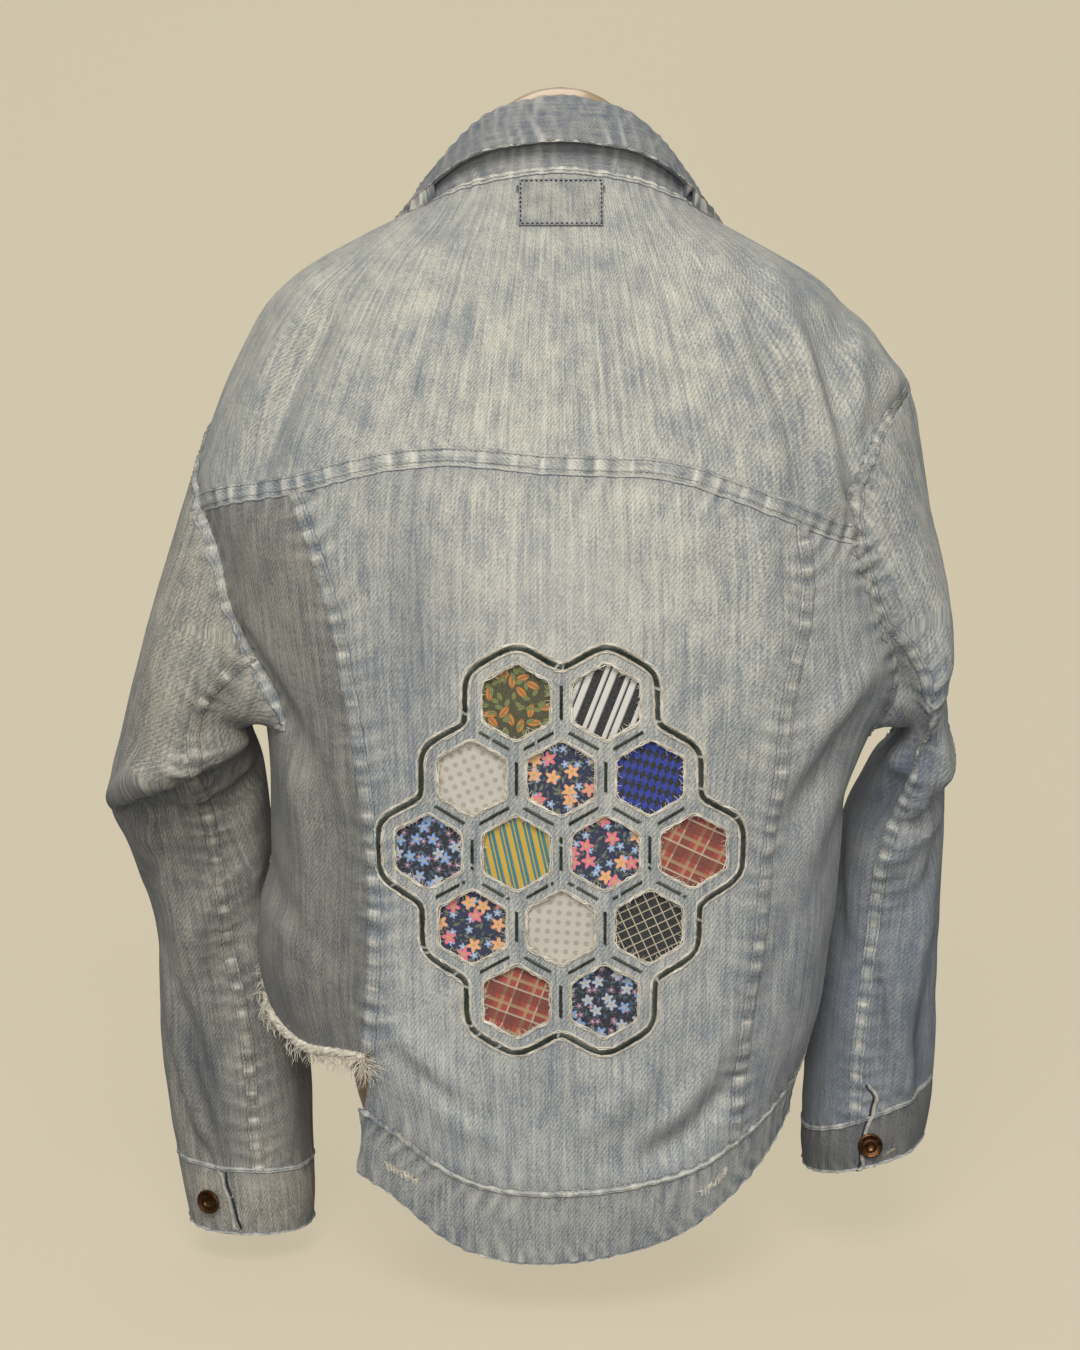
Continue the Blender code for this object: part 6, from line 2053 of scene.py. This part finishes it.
outline_at = patch_line[::2]
outline_runs = unit(np.gradient(patch_line, axis=0))[::2]
outline_ups = unit(np.array([patch_tree.find_nearest(Vector(p))[1] for p in outline_at]))
dark_stitches = copies(
    "patch_outline", STITCH_POINTS * np.array([1.0, 1.5, 1.0]), STITCH_FACES,
    outline_at + outline_ups * 0.0002, outline_runs,
    unit(np.cross(outline_ups, outline_runs)), outline_ups)
print("hand sewn:", list(hand_threads))

# %% [markdown]
# The shank buttons are turned metal: half a profile, given in millimetres, is spun round the
# button's axis. One button is modelled, and each place gets its own copy, tilted as the frame's is.
# %% The buttons
BUTTON_PROFILE = ((0.0, 2.05), (1.7, 2.0), (2.6, 2.25), (3.4, 2.75), (4.4, 2.55), (5.6, 2.60),
                  (6.6, 3.10), (7.5, 3.45), (8.2, 3.15), (8.5, 2.45), (8.2, 1.75), (7.2, 1.30),
                  (5.4, 1.15), (5.2, 0.30), (0.0, 0.25))
SPIN_STEPS = 40


def turn_button():
    mesh = bpy.data.meshes.new("button_profile")
    points = [(r / 1000, 0, h / 1000) for r, h in BUTTON_PROFILE]
    mesh.from_pydata(points, [(k, k + 1) for k in range(len(points) - 1)], [])
    button = add_piece("button_profile", mesh)
    edit_whole(button)
    bpy.ops.mesh.spin(steps=SPIN_STEPS, angle=2 * math.pi, center=(0, 0, 0), axis=(0, 0, 1))
    bpy.ops.mesh.select_all(action="SELECT")
    bpy.ops.mesh.remove_doubles(threshold=0.00002)
    bpy.ops.mesh.normals_make_consistent(inside=False)
    bpy.ops.object.mode_set(mode="OBJECT")
    bpy.ops.object.shade_smooth_by_angle(angle=math.radians(40))
    return button


def button_seat(node_name):
    """Where a frame's button stands and which way it faces: along its thinnest direction."""
    co = places(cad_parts[node_name])
    middle = (co.min(0) + co.max(0)) / 2
    spread = co - co.mean(0)
    axis = np.linalg.svd(spread, full_matrices=False)[2][2]
    away = middle - np.array([0, 0, middle[2]])
    for side in ("left", "right"):
        if side in node_name:
            away = middle - nearest_on_line(SLEEVE_LINES[side], middle[None])[0][0]
    axis = axis * np.sign(axis @ away)
    return middle + axis * ((spread @ axis).min() - (spread.mean(0) @ axis)), axis


one_button = turn_button()
buttons = {}
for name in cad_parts:
    if "button_" not in name or "stand" in name:
        continue
    button = add_piece(name + "_bronze", one_button.data.copy())
    seat, axis = button_seat(name)
    turn = Vector((0, 0, 1)).rotation_difference(Vector(axis)).to_matrix()
    put(button, np.array([turn @ Vector(point) for point in places(button)]) + seat)
    buttons[name] = button
bpy.data.objects.remove(one_button)
print("buttons:", list(buttons))

# %% [markdown]
# The dress form is a glossy shell. Its frame solid is refined as the cloth is and drawn in a little
# under the cloth, its neck is rounded to a dome, and its lower end turns in to the small base that
# it stands on.
# %% The dress form
DOME_HEIGHTS = (0.720, 0.740, 0.758, 0.770, 0.779, 0.785, 0.7875)
DOME_RADII = (0.0505, 0.0495, 0.0455, 0.0390, 0.0290, 0.0160, 0.0)
CAP_RADII = (0.0510, 0.0500, 0.0497, 0.0490, 0.0450, 0.0350, 0.0180)
BASE_HEIGHTS = (0.0, 0.006, 0.012, 0.020, 0.032)
BASE_SHARES = (0.40, 0.60, 0.76, 0.93, 1.0)
BASE_MIDDLE = np.array([0.0, -0.030])
UNDER_CLOTH, COVER_FROM, COVER_TO = 0.0012, 0.20, 0.735


form = refine(merged_copy("dress_form", "dress_form_shell", math.radians(60)), 2)
co = places(form)
for number, point in enumerate(co):
    cover = np.clip((point[2] - COVER_FROM) / 0.05, 0, 1)
    cover = cover * np.clip((COVER_TO - point[2]) / 0.02, 0, 1)
    spot, normal, _, _ = form_tree.find_nearest(Vector(point))
    height = (Vector(point) - spot).dot(normal)
    if height > -UNDER_CLOTH:
        co[number] -= np.array(normal) * (height + UNDER_CLOTH) * cover
dome = np.interp(co[:, 2], DOME_HEIGHTS, DOME_RADII) / np.interp(co[:, 2], DOME_HEIGHTS, CAP_RADII)
co[:, :2] *= np.where(co[:, 2] > DOME_HEIGHTS[0], dome, 1)[:, None]
tuck = np.interp(co[:, 2], BASE_HEIGHTS, BASE_SHARES)[:, None]
co[:, :2] = BASE_MIDDLE + (co[:, :2] - BASE_MIDDLE) * tuck
put(form, co)
only(form)
bpy.ops.object.shade_smooth_by_angle(angle=math.radians(60))
print("dress form:", len(form.data.polygons), "faces")

# %% [markdown]
# The navy thread's finish also colours the painted shadows beside the cuffs' overlaps.
# The other finishes are pale raw cotton, tan, olive and navy sewing thread, a pale rolled edge,
# turned bronze whose gloss wanders, and the form's varnished shell. Each drifts between two tones.
# %% The other finishes


def mottled(name, dark, light, size, roughness, bump=0.0, metallic=0.0):
    """A finish whose colour drifts between two tones, with a fine relief."""
    made, tree, shader = new_material(name, roughness)
    place = node(tree, "ShaderNodeTexCoord").outputs["Object"]
    drift = noise_on(tree, place, (1 / size,) * 3, 4.0, 0.6)
    colour = ramp(tree, drift, ((0.32, dark), (0.68, light)))
    tree.links.new(colour, shader.inputs["Base Color"])
    shader.inputs["Metallic"].default_value = metallic
    if bump:
        roughen(tree, shader, noise_on(tree, place, (5 / size,) * 3, 3.0, 0.6), 0.6, bump)
    return made, tree, shader, place


def rub(tree, shader, grains, low, high):
    """Lets the roughness wander between two values."""
    rough = node(tree, "ShaderNodeMapRange", {"Value": grains, "To Min": low, "To Max": high})
    tree.links.new(rough.outputs[0], shader.inputs["Roughness"])


def bronze_finish():
    made, tree, shader, place = mottled("aged_bronze", (0.055, 0.022, 0.010), (0.21, 0.095, 0.040),
                                        0.0035, 0.30, 0.00012, metallic=1.0)
    rub(tree, shader, noise_on(tree, place, (900, 900, 900), 2.0, 0.6), 0.20, 0.50)
    return made


def shell_finish():
    made, tree, shader, place = mottled("varnished_shell", (0.42, 0.265, 0.125),
                                        (0.52, 0.345, 0.18), 0.09, 0.28)
    rub(tree, shader, noise_on(tree, place, (60, 60, 14), 4.0, 0.65), 0.18, 0.42)
    roughen(tree, shader, noise_on(tree, place, (22, 22, 22), 2.0, 0.5), 0.25, 0.002)
    shader.inputs["Coat Weight"].default_value = 0.2
    shader.inputs["Coat Roughness"].default_value = 0.12
    return made


# Each thread's dark and light tone, the size of its drifts, its roughness and its relief.
THREADS = {
    "raw_cotton": ((0.42, 0.36, 0.27), (0.80, 0.74, 0.61), 0.006, 0.9, 0.0004),
    "tan_sewing_thread": ((0.26, 0.20, 0.12), (0.66, 0.56, 0.38), 0.008, 0.75, 0.0002),
    "olive_sewing_thread": ((0.012, 0.016, 0.012), (0.060, 0.070, 0.040), 0.006, 0.6, 0.0002),
    # The navy tone also colours the painted shadows beside the cuffs' overlaps.
    "navy_thread_and_shadow": ((0.008, 0.010, 0.018), (0.030, 0.036, 0.055), 0.004, 0.7, 0.0002),
    "pale_rolled_edge": ((0.28, 0.26, 0.22), (0.56, 0.52, 0.42), 0.004, 0.85, 0.0003),
}
finishes = {name: mottled(name, *values)[0] for name, values in THREADS.items()}
finishes["bronze"], finishes["shell"] = bronze_finish(), shell_finish()
for finish, pieces in (
        ("tan_sewing_thread", [*thread.values(), *hand_threads.values()]),
        ("raw_cotton", frays.values()), ("bronze", buttons.values()), ("shell", [form]),
        ("olive_sewing_thread", [satin_piece]), ("pale_rolled_edge", [ridge_piece]),
        ("navy_thread_and_shadow", [dark_stitches, overlap_shadow_piece])):
    for piece in pieces:
        piece.data.materials.append(finishes[finish])
print("finishes:", [made.name for made in finishes.values()])


sewing = [*thread.values(), *hand_threads.values(), satin_piece, dark_stitches, overlap_shadow_piece,
          ridge_piece]
for piece in [*sheets.values(), *patches.values(), *bands.values(), *frays.values(),
              *buttons.values(), *sewing, form]:
    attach(piece, "root")
for name, piece in sheets.items():
    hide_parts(name)
for pieces, slot in ((patches, "patch_cotton"), (buttons, "bronze")):
    for name, piece in pieces.items():
        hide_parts(name)
for name in RAW_EDGES:
    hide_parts(name)
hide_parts("dress_form")
